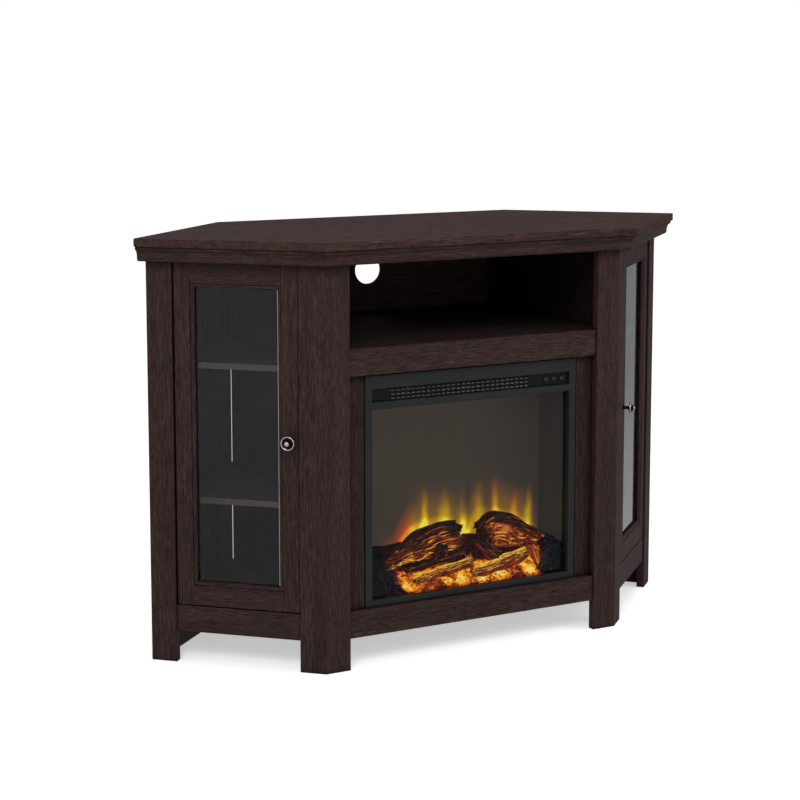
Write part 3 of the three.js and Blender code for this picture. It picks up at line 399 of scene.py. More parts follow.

# Knobs: zinc castings in oil-rubbed bronze, with a small rosette, a waisted stem and a flared
# head. A groove and a bead rubbed bright run round the dome, and its tip is rubbed bright too; this
# bright bronze is wear and also a painted highlight. A spigot holds each in its stile.
KNOB_PROFILE_MM = (  # radius and height over the stile, from the rosette to the dome
    (0.0, 0.0),
    (7.0, 0.0),
    (7.0, 1.0),
    (6.2, 1.8),
    (4.6, 2.4),
    (3.6, 4.2),
    (3.2, 7.0),
    (3.3, 9.6),
    (4.4, 11.6),
    (7.6, 13.2),
    (11.6, 14.4),
    (13.1, 15.4),
    (13.5, 16.6),
    (13.1, 17.8),
    (12.1, 18.3),
    (11.2, 17.8),
    (10.7, 16.9),
    (9.9, 16.8),
    (9.5, 17.6),
    (8.9, 18.6),
    (8.1, 18.9),
    (7.3, 18.5),
    (6.9, 17.7),
    (6.4, 18.2),
    (5.9, 20.2),
    (4.5, 22.8),
    (2.4, 24.4),
    (0.0, 24.9),
)
KNOB_PROUD = 0.025
# The bright rim and dome tip are wear, and a painted highlight as well.
RIM_RADIUS = 0.0109  # outside this radius and past this height the rim is rubbed bright
RIM_OUT = 0.0148
DOME_OUT = 0.0215  # past this height the dome is rubbed bright
WELD = 1e-6
bronze = skin("oil-rubbed bronze", "#1c1715", 0.28, 1.0, 1.5, 0.02)
rubbed = skin("bronze rubbed bright, with painted highlight", "#a9a6a6", 0.22, 1.0, 1.5, 0.02)
for side, turn in SIDES:
    outward, across = face_ways(turn)
    low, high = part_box(f"{side}_door_knob")
    corners = [vert.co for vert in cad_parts[f"{side}_door_knob"].data.vertices]
    foot = max(corner.dot(outward) for corner in corners) - KNOB_PROUD
    aside = [corner.dot(across) for corner in corners]
    middle = outward * foot + across * ((min(aside) + max(aside)) / 2)
    middle.z = (low.z + high.z) / 2
    shape = bmesh.new()
    ring = [shape.verts.new((radius / 1000, 0, out / 1000)) for radius, out in KNOB_PROFILE_MM]
    profile = ring + [shape.edges.new(pair) for pair in zip(ring, ring[1:])]
    axis = (0, 0, 1)
    bmesh.ops.spin(
        shape, geom=profile, cent=(0, 0, 0), axis=axis, angle=2 * math.pi, steps=72, use_merge=True
    )
    bmesh.ops.remove_doubles(shape, verts=shape.verts, dist=WELD)
    # Rim and dome tip take the bright bronze: wear, and a painted highlight.
    for face in shape.faces:
        centre = face.calc_center_median()
        on_rim = math.hypot(centre.x, centre.y) > RIM_RADIUS and centre.z > RIM_OUT
        face.material_index = 1 if on_rim or centre.z > DOME_OUT else 0
        face.smooth = True
    turned = Vector(axis).rotation_difference(outward).to_matrix().to_4x4()
    bmesh.ops.transform(shape, matrix=Matrix.Translation(middle) @ turned, verts=shape.verts)
    knob = piece(f"{side}_knob_casting", shape, bronze, rubbed)
    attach(knob, f"{side}_door")
    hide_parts(f"{side}_door_knob")

# Fireplace insert: a folded steel case and front frame in black powder coat, a smoked glass, and a
# control panel and buttons moulded in ABS, all an even near-black with few reflections. The duct,
# spindle and blower wheel inside are bare metal that hardly shows.
steel = skin("black powder-coated steel", "#1e1f1f", 0.5, 0.0, 1.2, 0.05, 0.2)
dress(steel, "firebox_front_frame", "firebox_case")
dress(pane_glass("smoked tempered glass", "#e6e3e0", 1.14), "firebox_glass")
matte_abs = skin("matte black ABS", "#070707", 0.42, 0.0, 0.8, 0.04, 0.16)
dress(matte_abs, "grille_panel", "cord_gland", "spindle_motor")
satin_abs = skin("satin black ABS", "#141415", 0.25, 0.0, 0.8, 0.02)
dress(satin_abs, "power_button", "flame_button", "heat_button")
dress(skin("zinc-plated sheet steel", "#b9bcbe", 0.35, 1.0, 3.0, 0.02), "heater_duct")
foil = skin("bright aluminium foil", "#d4d5d7", 0.2, 1.0, 2.0, 0.03)
dress(foil, "flame_spindle", "blower_wheel")

# Sealing tape: black foam stuck round the front edge of the insert's case and up against the backs
# of the fillers. It closes the gap round the insert to the light from the open back.
SEAL = 0.0080
SEAL_DEEP = 0.0045
SEAL_FOOT_GAP = 0.0006
foam = skin("black foam sealing tape", "#101010", 0.9, 0.0, 0.8, 0.05, 0.1)
case_low, case_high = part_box("firebox_case")
seal_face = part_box("filler_left")[1].y + HAIRLINE
seal_middle = case_high.x + HAIRLINE + SEAL / 2
for side, turn in SIDES:
    foot = Vector((turn * seal_middle, seal_face, case_low.z + SEAL_FOOT_GAP))
    top = Vector((foot.x, seal_face, case_high.z))
    tape = strip(f"sealing_tape_{side}", foot, top, rearward, SEAL, SEAL_DEEP, foam)
    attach(tape, "cabinet")
start = Vector((-seal_middle - SEAL / 2, seal_face, case_high.z + HAIRLINE + SEAL / 2))
end = Vector((-start.x, seal_face, start.z))
tape = strip("sealing_tape_top", start, end, rearward, SEAL, SEAL_DEEP, foam)
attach(tape, "cabinet")

# Louvre blades: a slanted blade moulded in each slot of the control panel. They are coloured a pale
# satin metallic grey, a painted highlight on black blades. Their lips catch the light as rows of small
# bright dashes.
LOUVRE_COLUMNS = 28
LOUVRE_ROWS = 3
LOUVRE_PITCH = 0.0109
LOUVRE_ROW_PITCH = 0.0076
LOUVRE_MIDDLE = -0.0245
LOUVRE_DEEP = 0.0016
LOUVRE_DROP = 0.0008
BLADE = (0.0078, 0.0030, 0.0006)
BLADE_TILT = 38
BLADE_EASE = 0.00015
blades_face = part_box("grille_panel")[0].y + LOUVRE_DEEP
button_low, button_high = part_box("flame_button")
shape = bmesh.new()
blade = Matrix.Rotation(math.radians(BLADE_TILT), 4, "X") @ Matrix.Diagonal((*BLADE, 1))
for row in range(LOUVRE_ROWS):
    rise = (row - (LOUVRE_ROWS - 1) / 2) * LOUVRE_ROW_PITCH - LOUVRE_DROP
    for column in range(LOUVRE_COLUMNS):
        x = LOUVRE_MIDDLE + (column - (LOUVRE_COLUMNS - 1) / 2) * LOUVRE_PITCH
        middle = Vector((x, blades_face, (button_low.z + button_high.z) / 2 + rise))
        bmesh.ops.create_cube(shape, size=1, matrix=Matrix.Translation(middle) @ blade)
bmesh.ops.bevel(
    shape, geom=shape.edges[:], offset=BLADE_EASE, affect="EDGES", segments=1, profile=0.5, material=-1
)
# Their pale metallic grey is a painted highlight.
blades = piece("louvre_blades", shape, skin("louvre blades, painted highlight", "#8a8a8c", 0.3, 0.7, 0.8, 0.02))
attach(blades, "cabinet")

# Ember bed: one moulding of clear resin over the lamps, sprinkled with black and amber granules.
# It climbs from the lip behind the glass towards the flame screen. Its two ends are heaped coal
# in front of the case walls and stay unlit.
bed_low, bed_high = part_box("ember_bed")
BED_LIP = 0.122
BED_CREST = 0.1945
BED_END = 0.181
BED_END_WIDTH = 0.054
BED_END_SLOPE = 0.022
BED_END_DEPTH_SHARES = (-0.04, 0.16)  # from front to back, where the heaps rise to their height
GRANULE = 0.0062
FINER = 2.7  # how many small granules lie across a large one
LUMP = 0.0032
END_LUMP = 0.0030  # how much higher the lumps of the two heaps are
SMALL_LUMP = 0.0013
SWELL = 0.0035
SWELLS_PER_METRE = 34


def smoothed(value, low, high):
    """How far a value has come from low to high, from 0 to 1, eased at both ends."""
    share = min(1.0, max(0.0, (value - low) / (high - low)))
    return share * share * (3 - 2 * share)


def bed_height(x, y):
    """The height of the bed at a place, with its heaped ends, granules and slow swells."""
    depth = (y - bed_low.y) / (bed_high.y - bed_low.y)
    rise = BED_LIP + (BED_CREST - BED_LIP) * depth**0.9
    inward = bed_high.x - abs(x)
    heap = smoothed(inward, BED_END_WIDTH, BED_END_WIDTH - BED_END_SLOPE)
    heap *= smoothed(depth, *BED_END_DEPTH_SHARES)
    rise += (BED_END - rise) * heap
    spot = Vector((x, y, rise)) / GRANULE
    lump = (LUMP + END_LUMP * heap) * (0.6 - noise.voronoi(spot)[0][0])
    small_lump = SMALL_LUMP * (0.6 - noise.voronoi(spot * FINER)[0][0])
    swell = SWELL * noise.noise(Vector((x, y, 0)) * SWELLS_PER_METRE)
    return rise + lump + small_lump + swell


shape = bmesh.new()
bmesh.ops.create_grid(shape, x_segments=300, y_segments=84, size=1)
for vert in shape.verts:
    x = vert.co.x * bed_high.x
    y = bed_low.y + (vert.co.y + 1) / 2 * (bed_high.y - bed_low.y)
    vert.co = (x, y, bed_height(x, y))
rim = [edge for edge in shape.edges if edge.is_boundary]
skirt = bmesh.ops.extrude_edge_only(shape, edges=rim)["geom"]
for vert in [item for item in skirt if isinstance(item, bmesh.types.BMVert)]:
    vert.co.z = bed_low.z
bmesh.ops.holes_fill(shape, edges=[edge for edge in shape.edges if edge.is_boundary], sides=0)

# The bed's resin: coal black with a blue cast, and glowing from red brown at its fringe to pale
# yellow where a lamp stands under it. Each granule has its own shade.
COAL = ((0.0, "#020305"), (0.5, "#0a0d13"), (0.85, "#151a25"), (1.0, "#232a3a"))
EMBER_GLOW = (
    (0.0, "#000000"),
    (0.08, "#2c0a04"),
    (0.18, "#6e220a"),
    (0.3, "#b04c10"),
    (0.42, "#e07a10"),
    (0.56, "#ffa412"),
    (0.76, "#ffc824"),
    (1.0, "#ffea80"),
)
BED_LAMPS = (  # each lamp's place from left to right, and how far its light reaches
    (-0.128, 0.018),
    (-0.040, 0.014),
    (-0.010, 0.022),
    (0.036, 0.022),
    (0.080, 0.028),
    (0.146, 0.022),
)
LAMP_LINE = (-0.176, 0.135)  # where the lamps stand, from front to back and in height
LIT_LEFT = (-0.156, -0.132)  # where the light comes up from the left, right, front and back
LIT_RIGHT = (0.186, 0.160)
LIT_FRONT = (-0.188, -0.179)
LIT_BACK = (-0.138, -0.150)
FRINGE = 0.016  # how far the lit part's two ends run in and out
WARM_BACK = (-0.170, -0.156)  # where the bed is warmer towards the back, and towards the right
WARM_RIGHT = (-0.12, -0.08)
PATCHES_PER_METRE = 48.0
FLECKS_ACROSS = 1.4  # shades across one granule
GRANULE_RELIEF = 0.0014
ember, tree = finish("resin ember bed with coal and amber granules")
place = add(tree, "TexCoord").outputs["Object"]
fleck = add(tree, "TexVoronoi", {"Vector": place, "Scale": FLECKS_ACROSS / GRANULE})
patch = {"Vector": place, "Scale": PATCHES_PER_METRE, "Detail": 4.0, "Roughness": 0.65}
patch = add(tree, "TexNoise", patch)
shade = add(tree, "SeparateColor", (fleck.outputs["Color"],))
coal = add(tree, "ValToRGB", (shade,), COAL)
part = add(tree, "SeparateXYZ", (place,)).outputs
ragged = add(tree, "MapRange", (patch, 0.3, 0.7, -FRINGE, FRINGE), interpolation_type="LINEAR")
ragged = add(tree, "Math", (part["X"], ragged), operation="ADD")
from_left = add(tree, "MapRange", (ragged, *LIT_LEFT, 0.0, 1.0), interpolation_type="SMOOTHSTEP")
from_right = add(tree, "MapRange", (ragged, *LIT_RIGHT, 0.0, 1.0), interpolation_type="SMOOTHSTEP")
near = add(tree, "MapRange", (part["Y"], *LIT_FRONT, 0.32, 1.0), interpolation_type="SMOOTHSTEP")
far = add(tree, "MapRange", (part["Y"], *LIT_BACK, 0.1, 1.0), interpolation_type="SMOOTHSTEP")
lamps = add(tree, "Math", (from_left, from_right), operation="MULTIPLY")
lamps = add(tree, "Math", (lamps, near), operation="MULTIPLY")
lamps = add(tree, "Math", (lamps, far), operation="MULTIPLY")
hot = add(tree, "MapRange", (part["Y"], *WARM_BACK, 0.0, 0.3), interpolation_type="SMOOTHSTEP")
inward = add(tree, "MapRange", (part["X"], *WARM_RIGHT, 0.0, 1.0), interpolation_type="SMOOTHSTEP")
hot = add(tree, "Math", (hot, inward), operation="MULTIPLY")
for x, reach in BED_LAMPS:
    away = add(tree, "VectorMath", (place, (x, *LAMP_LINE)), operation="DISTANCE")
    spot = (away, reach, reach * 0.1, 0.0, 0.74)
    spot = add(tree, "MapRange", spot, interpolation_type="SMOOTHSTEP")
    hot = add(tree, "Math", (hot, spot), operation="ADD")
glow_level = add(tree, "MapRange", (patch, 0.38, 0.64, 0.18, 0.54), interpolation_type="SMOOTHSTEP")
glow_level = add(tree, "Math", (glow_level, hot), operation="ADD")
speckle = add(tree, "MapRange", (shade, 0.05, 0.7, 0.42, 1.1), interpolation_type="LINEAR")
glow_level = add(tree, "Math", (glow_level, speckle), operation="MULTIPLY")
glow_level = add(tree, "Math", (glow_level, lamps), operation="MULTIPLY")
glow = add(tree, "ValToRGB", (glow_level,), EMBER_GLOW)
bump = add(tree, "Bump", {"Height": fleck, "Strength": 0.7, "Distance": GRANULE_RELIEF})
looks = {"Base Color": coal, "Roughness": 0.6, "Specular IOR Level": 0.04, "Normal": bump}
looks |= {"Emission Color": glow, "Emission Strength": 1.0}
surface = add(tree, "BsdfPrincipled", looks)
add(tree, "OutputMaterial", (surface,))
bed = piece("ember_bed_moulding", shape, ember)
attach(bed, "cabinet")
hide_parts("ember_bed")

# Logs: hollow resin castings from real burnt wood, painted charcoal and brown and lit from below.
# The bark keeps its long fissures, the ends are broken off and one log shows a split face.
# Their glow is painted light from the lamps under the bed: brighter where the paint turns to a lamp,
# and on the plates of bark than between them.
BARK = ((0.0, "#040303"), (0.5, "#170b07"), (1.0, "#321a10"))
BARE_WOOD = "#4c2212"
FISSURE_DEPTH = 0.0012
LOG_GLOW = (
    (0.0, "#000000"),
    (0.12, "#1c0602"),
    (0.26, "#4c1608"),
    (0.44, "#8c3010"),
    (0.62, "#a84c1a"),
    (0.78, "#cc6e22"),
    (0.92, "#f2a02e"),
    (1.0, "#ffcc48"),
)


def painted_resin(name, lamp_way, lit_from, lit_to, peak, body, relief):
    """Painted resin with painted light: a glow where it faces the lamps, and a little all over its body.

    The glow rises to peak as the surface turns from lit_from to lit_to, the cosines of its angle to
    the lamps. Body is the glow all over, and relief the share of it left in the fissures.
    """
    made, tree = finish(name)
    straight = add(tree, "Attribute", attribute_name="straight").outputs["Vector"]
    bark = add(tree, "Attribute", attribute_name="bark").outputs["Fac"]
    wood = add(tree, "Attribute", attribute_name="wood").outputs["Fac"]
    end = add(tree, "Attribute", attribute_name="end").outputs["Fac"]

    def fissures(across_mm, length_mm, detail, warp):
        size = (across_mm / 1000, across_mm / 1000, length_mm / 1000)
        fit = add(tree, "Mapping", {"Vector": straight, "Scale": size}, vector_type="TEXTURE")
        inputs = {"Vector": fit, "Scale": 1.0, "Detail": detail, "Roughness": 0.62, "Distortion": warp}
        return add(tree, "TexNoise", inputs)

    plates = (fissures(3.4, 75, 2.0, 0.3), 0.46, 0.58, 0.0, 1.0)
    fibre = (fissures(1.4, 30, 2.0, 0.25), 0.36, 0.56, 0.4, 1.0)
    patch = (fissures(16, 30, 3.0, 0.6), 0.3, 0.7, -0.14, 0.16)
    plates = add(tree, "MapRange", plates, interpolation_type="SMOOTHSTEP")
    fibre = add(tree, "MapRange", fibre, interpolation_type="SMOOTHSTEP")
    patch = add(tree, "MapRange", patch, interpolation_type="LINEAR")
    stand = add(tree, "MapRange", (bark, 0.2, 0.55, 0.15, 1.0), interpolation_type="SMOOTHSTEP")
    ridge = add(tree, "Math", (plates, fibre), operation="MULTIPLY")
    ridge = add(tree, "Math", (ridge, stand), operation="MULTIPLY")
    painted = add(tree, "ValToRGB", (ridge,), BARK)
    bare = add(tree, "Math", (wood, 0.7), operation="MULTIPLY")
    painted = add(tree, "Mix", (bare, painted, linear(BARE_WOOD)), data_type="RGBA", blend_type="MIX")
    # Painted light: the glow follows how far the surface turns to the lamps, less in the fissures and at
    # the broken ends.
    normal = add(tree, "NewGeometry").outputs["Normal"]
    facing = add(tree, "VectorMath", (normal, lamp_way), operation="DOT_PRODUCT")
    lit = (facing, lit_from, lit_to, 0.0, peak)
    lit = add(tree, "MapRange", lit, interpolation_type="SMOOTHSTEP")
    lit = add(tree, "Math", (lit, body), operation="ADD")
    lit = add(tree, "Math", (lit, patch), operation="ADD")
    raised = add(tree, "MapRange", (ridge, 0.0, 0.9, relief, 1.05), interpolation_type="LINEAR")
    glow_level = add(tree, "Math", (lit, raised), operation="MULTIPLY")
    broken = add(tree, "MapRange", (end, 0.0, 1.0, 1.0, 0.35), interpolation_type="LINEAR")
    glow_level = add(tree, "Math", (glow_level, broken), operation="MULTIPLY")
    glow = add(tree, "ValToRGB", (glow_level,), LOG_GLOW)
    bump = add(tree, "Bump", {"Height": ridge, "Strength": 0.8, "Distance": FISSURE_DEPTH})
    looks = {"Base Color": painted, "Roughness": 0.72, "Specular IOR Level": 0.2, "Normal": bump}
    looks |= {"Emission Color": glow, "Emission Strength": 1.0}
    surface = add(tree, "BsdfPrincipled", looks)
    add(tree, "OutputMaterial", (surface,))
    return made


# Lit and shaded copies of one painted resin, which differ only in their painted light: its way to the
# lamps, its strength, and how much of it lies over the body and in the fissures.
FROM_BELOW = (-0.12, -0.80, -0.58)
FROM_FRONT = (-0.12, -0.85, -0.50)
FROM_ABOVE = (0.0, -0.05, 0.99)
FROM_LEFT = (-0.5, -0.8, 0.2)
burnt = painted_resin("painted resin, charred bark", FROM_BELOW, -0.1, 1.0, 1.2, 0.0, 0.2)
glowing = painted_resin("painted resin, bark in painted light from the front", FROM_FRONT, -0.1, 1.0, 0.86, 0.06, 0.26)
charred = painted_resin("painted resin, charred bark in painted shade", FROM_BELOW, 0.1, 1.0, 0.6, 0.0, 0.1)
rimmed = painted_resin("painted resin, bark lit from behind", FROM_ABOVE, 0.70, 0.86, 1.3, 0.34, 0.86)
bright = painted_resin("painted resin, bark over a lamp", FROM_LEFT, 0.3, 1.0, 0.8, 0.3, 0.4)

RING_POINTS = 132
RING_STEP = 0.0014
FEWEST_RINGS = 24
CAP_RINGS = 6
CAP_RING_SHARE = 0.14
BARK_RELIEF = 0.0046
ROUGH_LENGTH = 0.030  # how long the bark's lumps, its fissures and the knots are
CRACK_LENGTH = 0.045
KNOT_LENGTH = 0.027
SPLIT_END_SHARE = 0.12  # how much of the log each end of the split runs out over
SPLIT_RELIEF = 0.0016
SPLIT_RIM = 0.003


def cast_log(name, material, points, widths, seed, jag=0.006, split=None):
    """A log along an arc through three points. Widths are its radii at even steps along it.

    Jag is how far its broken ends stand out. A split is the way that its bare face looks, the depth
    of that face as a share of the radius, and where along the log it starts and ends.
    Its attributes are "straight", a point's place on the log before it was bent, so that the grain
    follows the bend; "bark", how far it stands out; "wood", where the bark is gone; and "end".
    """
    shape = bmesh.new()
    layers = shape.verts.layers
    bark, wood, cap = [layers.float.new(kind) for kind in ("bark", "wood", "end")]
    place = layers.float_vector.new("straight")
    bmesh.ops.create_cone(shape, cap_ends=True, segments=RING_POINTS, radius1=1, radius2=1, depth=1)
    ends = [face for face in shape.faces if len(face.verts) > 4]
    for _ in range(CAP_RINGS):
        bmesh.ops.inset_region(shape, faces=ends, thickness=CAP_RING_SHARE, use_even_offset=False)
    long_edges = [edge for edge in shape.edges if abs(edge.verts[0].co.z - edge.verts[1].co.z) > 0.5]
    start, middle, end = [Vector(point) for point in points]
    bend = middle * 2 - (start + end) / 2
    length = (end - start).length
    rings = max(FEWEST_RINGS, int(length / RING_STEP))
    bmesh.ops.subdivide_edges(shape, edges=long_edges, cuts=rings)
    shift = Vector((seed * 7.3, seed * 3.1, seed * 5.7))
    for vert in shape.verts:
        along = vert.co.z + 0.5
        angle = math.atan2(vert.co.y, vert.co.x)
        share = min(1.0, math.hypot(vert.co.x, vert.co.y))
        round_way = Vector((math.cos(angle), math.sin(angle), 0))
        step = along * (len(widths) - 1)
        index = min(int(step), len(widths) - 2)
        width = widths[index] + (widths[index + 1] - widths[index]) * smoothed(step - index, 0, 1)
        lengthwise = Vector((0, 0, along * length))
        rough = noise.fractal(round_way * 3.6 + lengthwise / ROUGH_LENGTH + shift, 0.9, 2.1, 3)
        crack = 1 - abs(noise.noise(round_way * 5.5 + lengthwise / CRACK_LENGTH + shift)) * 2.6
        stand = 0.5 + 0.38 * rough - 0.5 * max(0.0, crack) ** 3
        knots = noise.noise(round_way * 1.3 + lengthwise / KNOT_LENGTH + shift)
        reach = share * (width * (1 + 0.2 * knots) + BARK_RELIEF * (stand - 0.5))
        torn = noise.fractal(round_way * 2.4 + Vector((0, 0, share * 3)) + shift, 0.7, 2.3, 4)
        push = 1.6 * jag * torn * (smoothed(along, 0.6, 1.0) + smoothed(along, 0.4, 0.0))
        sink = 0.5 * jag * (1 - share) * (1 if along > 0.5 else -1)
        centre = start * (1 - along) ** 2 + bend * 2 * along * (1 - along) + end * along**2
        way = ((bend - start) * (1 - along) + (end - bend) * along).normalized()
        side = way.cross(Vector((0, 1, 0))).normalized()
        out = side.cross(way).normalized()
        offset = side * (-math.cos(angle) * reach) + out * (math.sin(angle) * reach)
        bare = 0.0
        if split is not None:
            facing, depth_share, first, last = split
            normal = Vector(facing).normalized()
            over = offset.dot(normal) - depth_share * width
            window = smoothed(along, first, first + SPLIT_END_SHARE)
            window *= smoothed(along, last, last - SPLIT_END_SHARE)
            if over > 0 and window > 0:
                grain = noise.noise(Vector((offset.x * 60, offset.z * 260, along * 4)) + shift)
                offset -= normal * (over * window - SPLIT_RELIEF * grain)
                bare = window * smoothed(over, 0, SPLIT_RIM)
                stand = stand * (1 - bare) + bare * (0.6 + 0.5 * grain)
        vert.co = centre + offset + way * (push - sink)
        vert[place] = round_way * (share * width) + lengthwise + shift
        vert[bark] = stand if share > 0.999 else 0.5 + 0.4 * math.sin(share * 30 + 5 * torn)
        vert[wood] = bare
        vert[cap] = smoothed(share, 1.0, 0.94)
    for face in shape.faces:
        face.smooth = True
    return piece(name, shape, material)


left = cast_log(
    "log_left_casting",
    burnt,
    [(-0.152, -0.130, 0.167), (-0.072, -0.126, 0.1985), (0.006, -0.124, 0.2070)],
    [0.009, 0.019, 0.027, 0.0295, 0.029, 0.0275],
    seed=1,
    jag=0.008,
)
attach(left, "cabinet")
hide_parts("log_left")
right = cast_log(
    "log_right_casting",
    glowing,
    [(0.070, -0.124, 0.2040), (0.120, -0.124, 0.2035), (0.212, -0.122, 0.1650)],
    [0.027, 0.0345, 0.0345, 0.030, 0.024, 0.015],
    seed=2,
    jag=0.008,
    split=((-0.25, -0.9, -0.2), 0.62, 0.0, 0.5),
)
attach(right, "cabinet")
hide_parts("log_right")

# Small logs and slivers: cast with the bed in front of the two large logs, thin and bent, with
# painted light on their upper edges where the lamps shine up behind them.
SMALL_LOGS = (  # name, material, three points of the arc, radii and seed
    (
        "front_log_left",
        rimmed,
        [(-0.110, -0.166, 0.1385), (-0.053, -0.165, 0.149), (0.018, -0.163, 0.1605)],
        [0.0055, 0.0085, 0.0080, 0.0105, 0.0090, 0.0100],
        3,
    ),
    (
        "front_log_right",
        rimmed,
        [(0.018, -0.168, 0.1365), (0.087, -0.165, 0.149), (0.146, -0.160, 0.1635)],
        [0.0080, 0.0115, 0.0120, 0.0145, 0.0130, 0.0105],
        4,
    ),
    (
        "second_log_left",
        charred,
        [(-0.118, -0.150, 0.156), (-0.056, -0.150, 0.1665), (0.008, -0.148, 0.176)],
        [0.0050, 0.0085, 0.0070, 0.0080, 0.0065],
        5,
    ),
    (
        "middle_stub",
        charred,
        [(0.084, -0.148, 0.160), (0.062, -0.142, 0.178), (0.040, -0.136, 0.196)],
        [0.015, 0.0145, 0.0135, 0.010],
        6,
    ),
    (
        "middle_fork",
        bright,
        [(0.026, -0.160, 0.142), (0.020, -0.158, 0.157), (0.017, -0.154, 0.172)],
        [0.0055, 0.0045, 0.0050, 0.0060],
        9,
    ),
    (
        "left_log_knot",
        burnt,
        [(-0.040, -0.132, 0.190), (-0.046, -0.147, 0.187), (-0.053, -0.160, 0.184)],
        [0.020, 0.0175, 0.0150],
        7,
    ),
    (
        "right_stub",
        bright,
        [(0.178, -0.158, 0.130), (0.170, -0.156, 0.152), (0.162, -0.150, 0.174)],
        [0.010, 0.009, 0.0085, 0.007],
        8,
    ),
    (
        "right_splinter",
        bright,
        [(0.206, -0.152, 0.132), (0.207, -0.148, 0.156), (0.203, -0.138, 0.178)],
        [0.010, 0.0095, 0.009, 0.006],
        10,
    ),
)
for name, material, points, widths, seed in SMALL_LOGS:
    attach(cast_log(name, material, points, widths, seed, jag=0.004), "cabinet")

# Flame screen: a frosted smoke-brown panel that the flicker spindle throws light on from behind.
# Upright yellow and olive tongues rise from a glow that follows the tops of the logs, orange
# at the left end and where single tongues are orange, and die out in a brown haze.
GLOW_HALF = 0.225
GLOW_LOW = 0.14
GLOW_RISE = 0.12
LOG_TOPS = (  # along the screen, the height of the logs in front of it
    (-0.225, 0.150),
    (-0.120, 0.170),
    (-0.098, 0.196),
    (-0.053, 0.223),
    (0.0, 0.225),
    (0.026, 0.216),
    (0.042, 0.180),
    (0.062, 0.214),
    (0.079, 0.237),
    (0.155, 0.216),
    (0.225, 0.180),
)
FLAMES = (  # each tongue's middle, half width, top and strength
    (-0.044, 0.0070, 0.328, 0.56),
    (0.003, 0.0095, 0.322, 0.42),
    (0.043, 0.0080, 0.326, 0.42),
    (0.047, 0.0120, 0.245, 0.40),
    (0.081, 0.0090, 0.326, 0.50),
    (0.119, 0.0065, 0.324, 0.54),
    (0.166, 0.0070, 0.285, 0.44),
    (0.199, 0.0060, 0.302, 0.48),
)
FLAME_FOOT = 0.215
ORANGE_FLAMES = (0.119, 0.166)
GOLDEN = (
    (0.0, "#41372f"),
    (0.18, "#58462e"),
    (0.36, "#7c5c2a"),
    (0.52, "#9c7a1e"),
    (0.68, "#bc941b"),
    (0.84, "#dcb41a"),
    (1.0, "#faec46"),
)
RED = (
    (0.0, "#41372f"),
    (0.2, "#683d30"),
    (0.4, "#87472c"),
    (0.6, "#b04d2d"),
    (0.8, "#d9642a"),
    (1.0, "#e88a2a"),
)
flame, tree = finish("frosted acrylic with flame light")
place = add(tree, "TexCoord").outputs["Object"]
part = add(tree, "SeparateXYZ", (place,)).outputs
across = add(tree, "MapRange", (part["X"], -GLOW_HALF, GLOW_HALF, 0.0, 1.0), interpolation_type="LINEAR")
tops = add(tree, "FloatCurve", (1.0, across))
line = tops.mapping.curves[0]
for index, (x, z) in enumerate(LOG_TOPS):
    spot = ((x + GLOW_HALF) / (2 * GLOW_HALF), (z - GLOW_LOW) / GLOW_RISE)
    if index in (0, len(LOG_TOPS) - 1):
        line.points[0 if index == 0 else -1].location = spot
    else:
        line.points.new(*spot)
tops.mapping.update()
tops = add(tree, "Math", (tops, GLOW_RISE), operation="MULTIPLY")
tops = add(tree, "Math", (tops, GLOW_LOW), operation="ADD")
over = add(tree, "Math", (part["Z"], tops), operation="SUBTRACT")

# The haze over the logs, thin over the right log's shoulder and gone at both ends of the screen.
HAZE_HEIGHT = 0.095
HAZE_EDGE = 0.018
HAZE_LEFT = (-0.13, -0.05)  # where it comes up from the left and from the right
HAZE_RIGHT = (0.235, 0.18)
SHOULDER = 0.090
SHOULDER_REACH = (0.012, 0.034)
haze = add(tree, "MapRange", (over, HAZE_HEIGHT, 0.0, 0.0, 0.40), interpolation_type="SMOOTHSTEP")
edge = add(tree, "MapRange", (over, HAZE_EDGE, 0.0, 0.0, 0.28), interpolation_type="SMOOTHSTEP")
glow_level = add(tree, "Math", (haze, edge), operation="ADD")
shoulder = add(tree, "Math", (part["X"], SHOULDER), operation="SUBTRACT")
shoulder = add(tree, "Math", (shoulder,), operation="ABSOLUTE")
thin = add(tree, "MapRange", (shoulder, *SHOULDER_REACH, 0.45, 1.0), interpolation_type="SMOOTHSTEP")
glow_level = add(tree, "Math", (glow_level, thin), operation="MULTIPLY")
from_left = add(tree, "MapRange", (part["X"], *HAZE_LEFT, 0.0, 1.0), interpolation_type="SMOOTHSTEP")
from_right = add(tree, "MapRange", (part["X"], *HAZE_RIGHT, 0.0, 1.0), interpolation_type="SMOOTHSTEP")
ends = add(tree, "Math", (from_left, from_right), operation="MULTIPLY")
glow_level = add(tree, "Math", (glow_level, ends), operation="MULTIPLY")

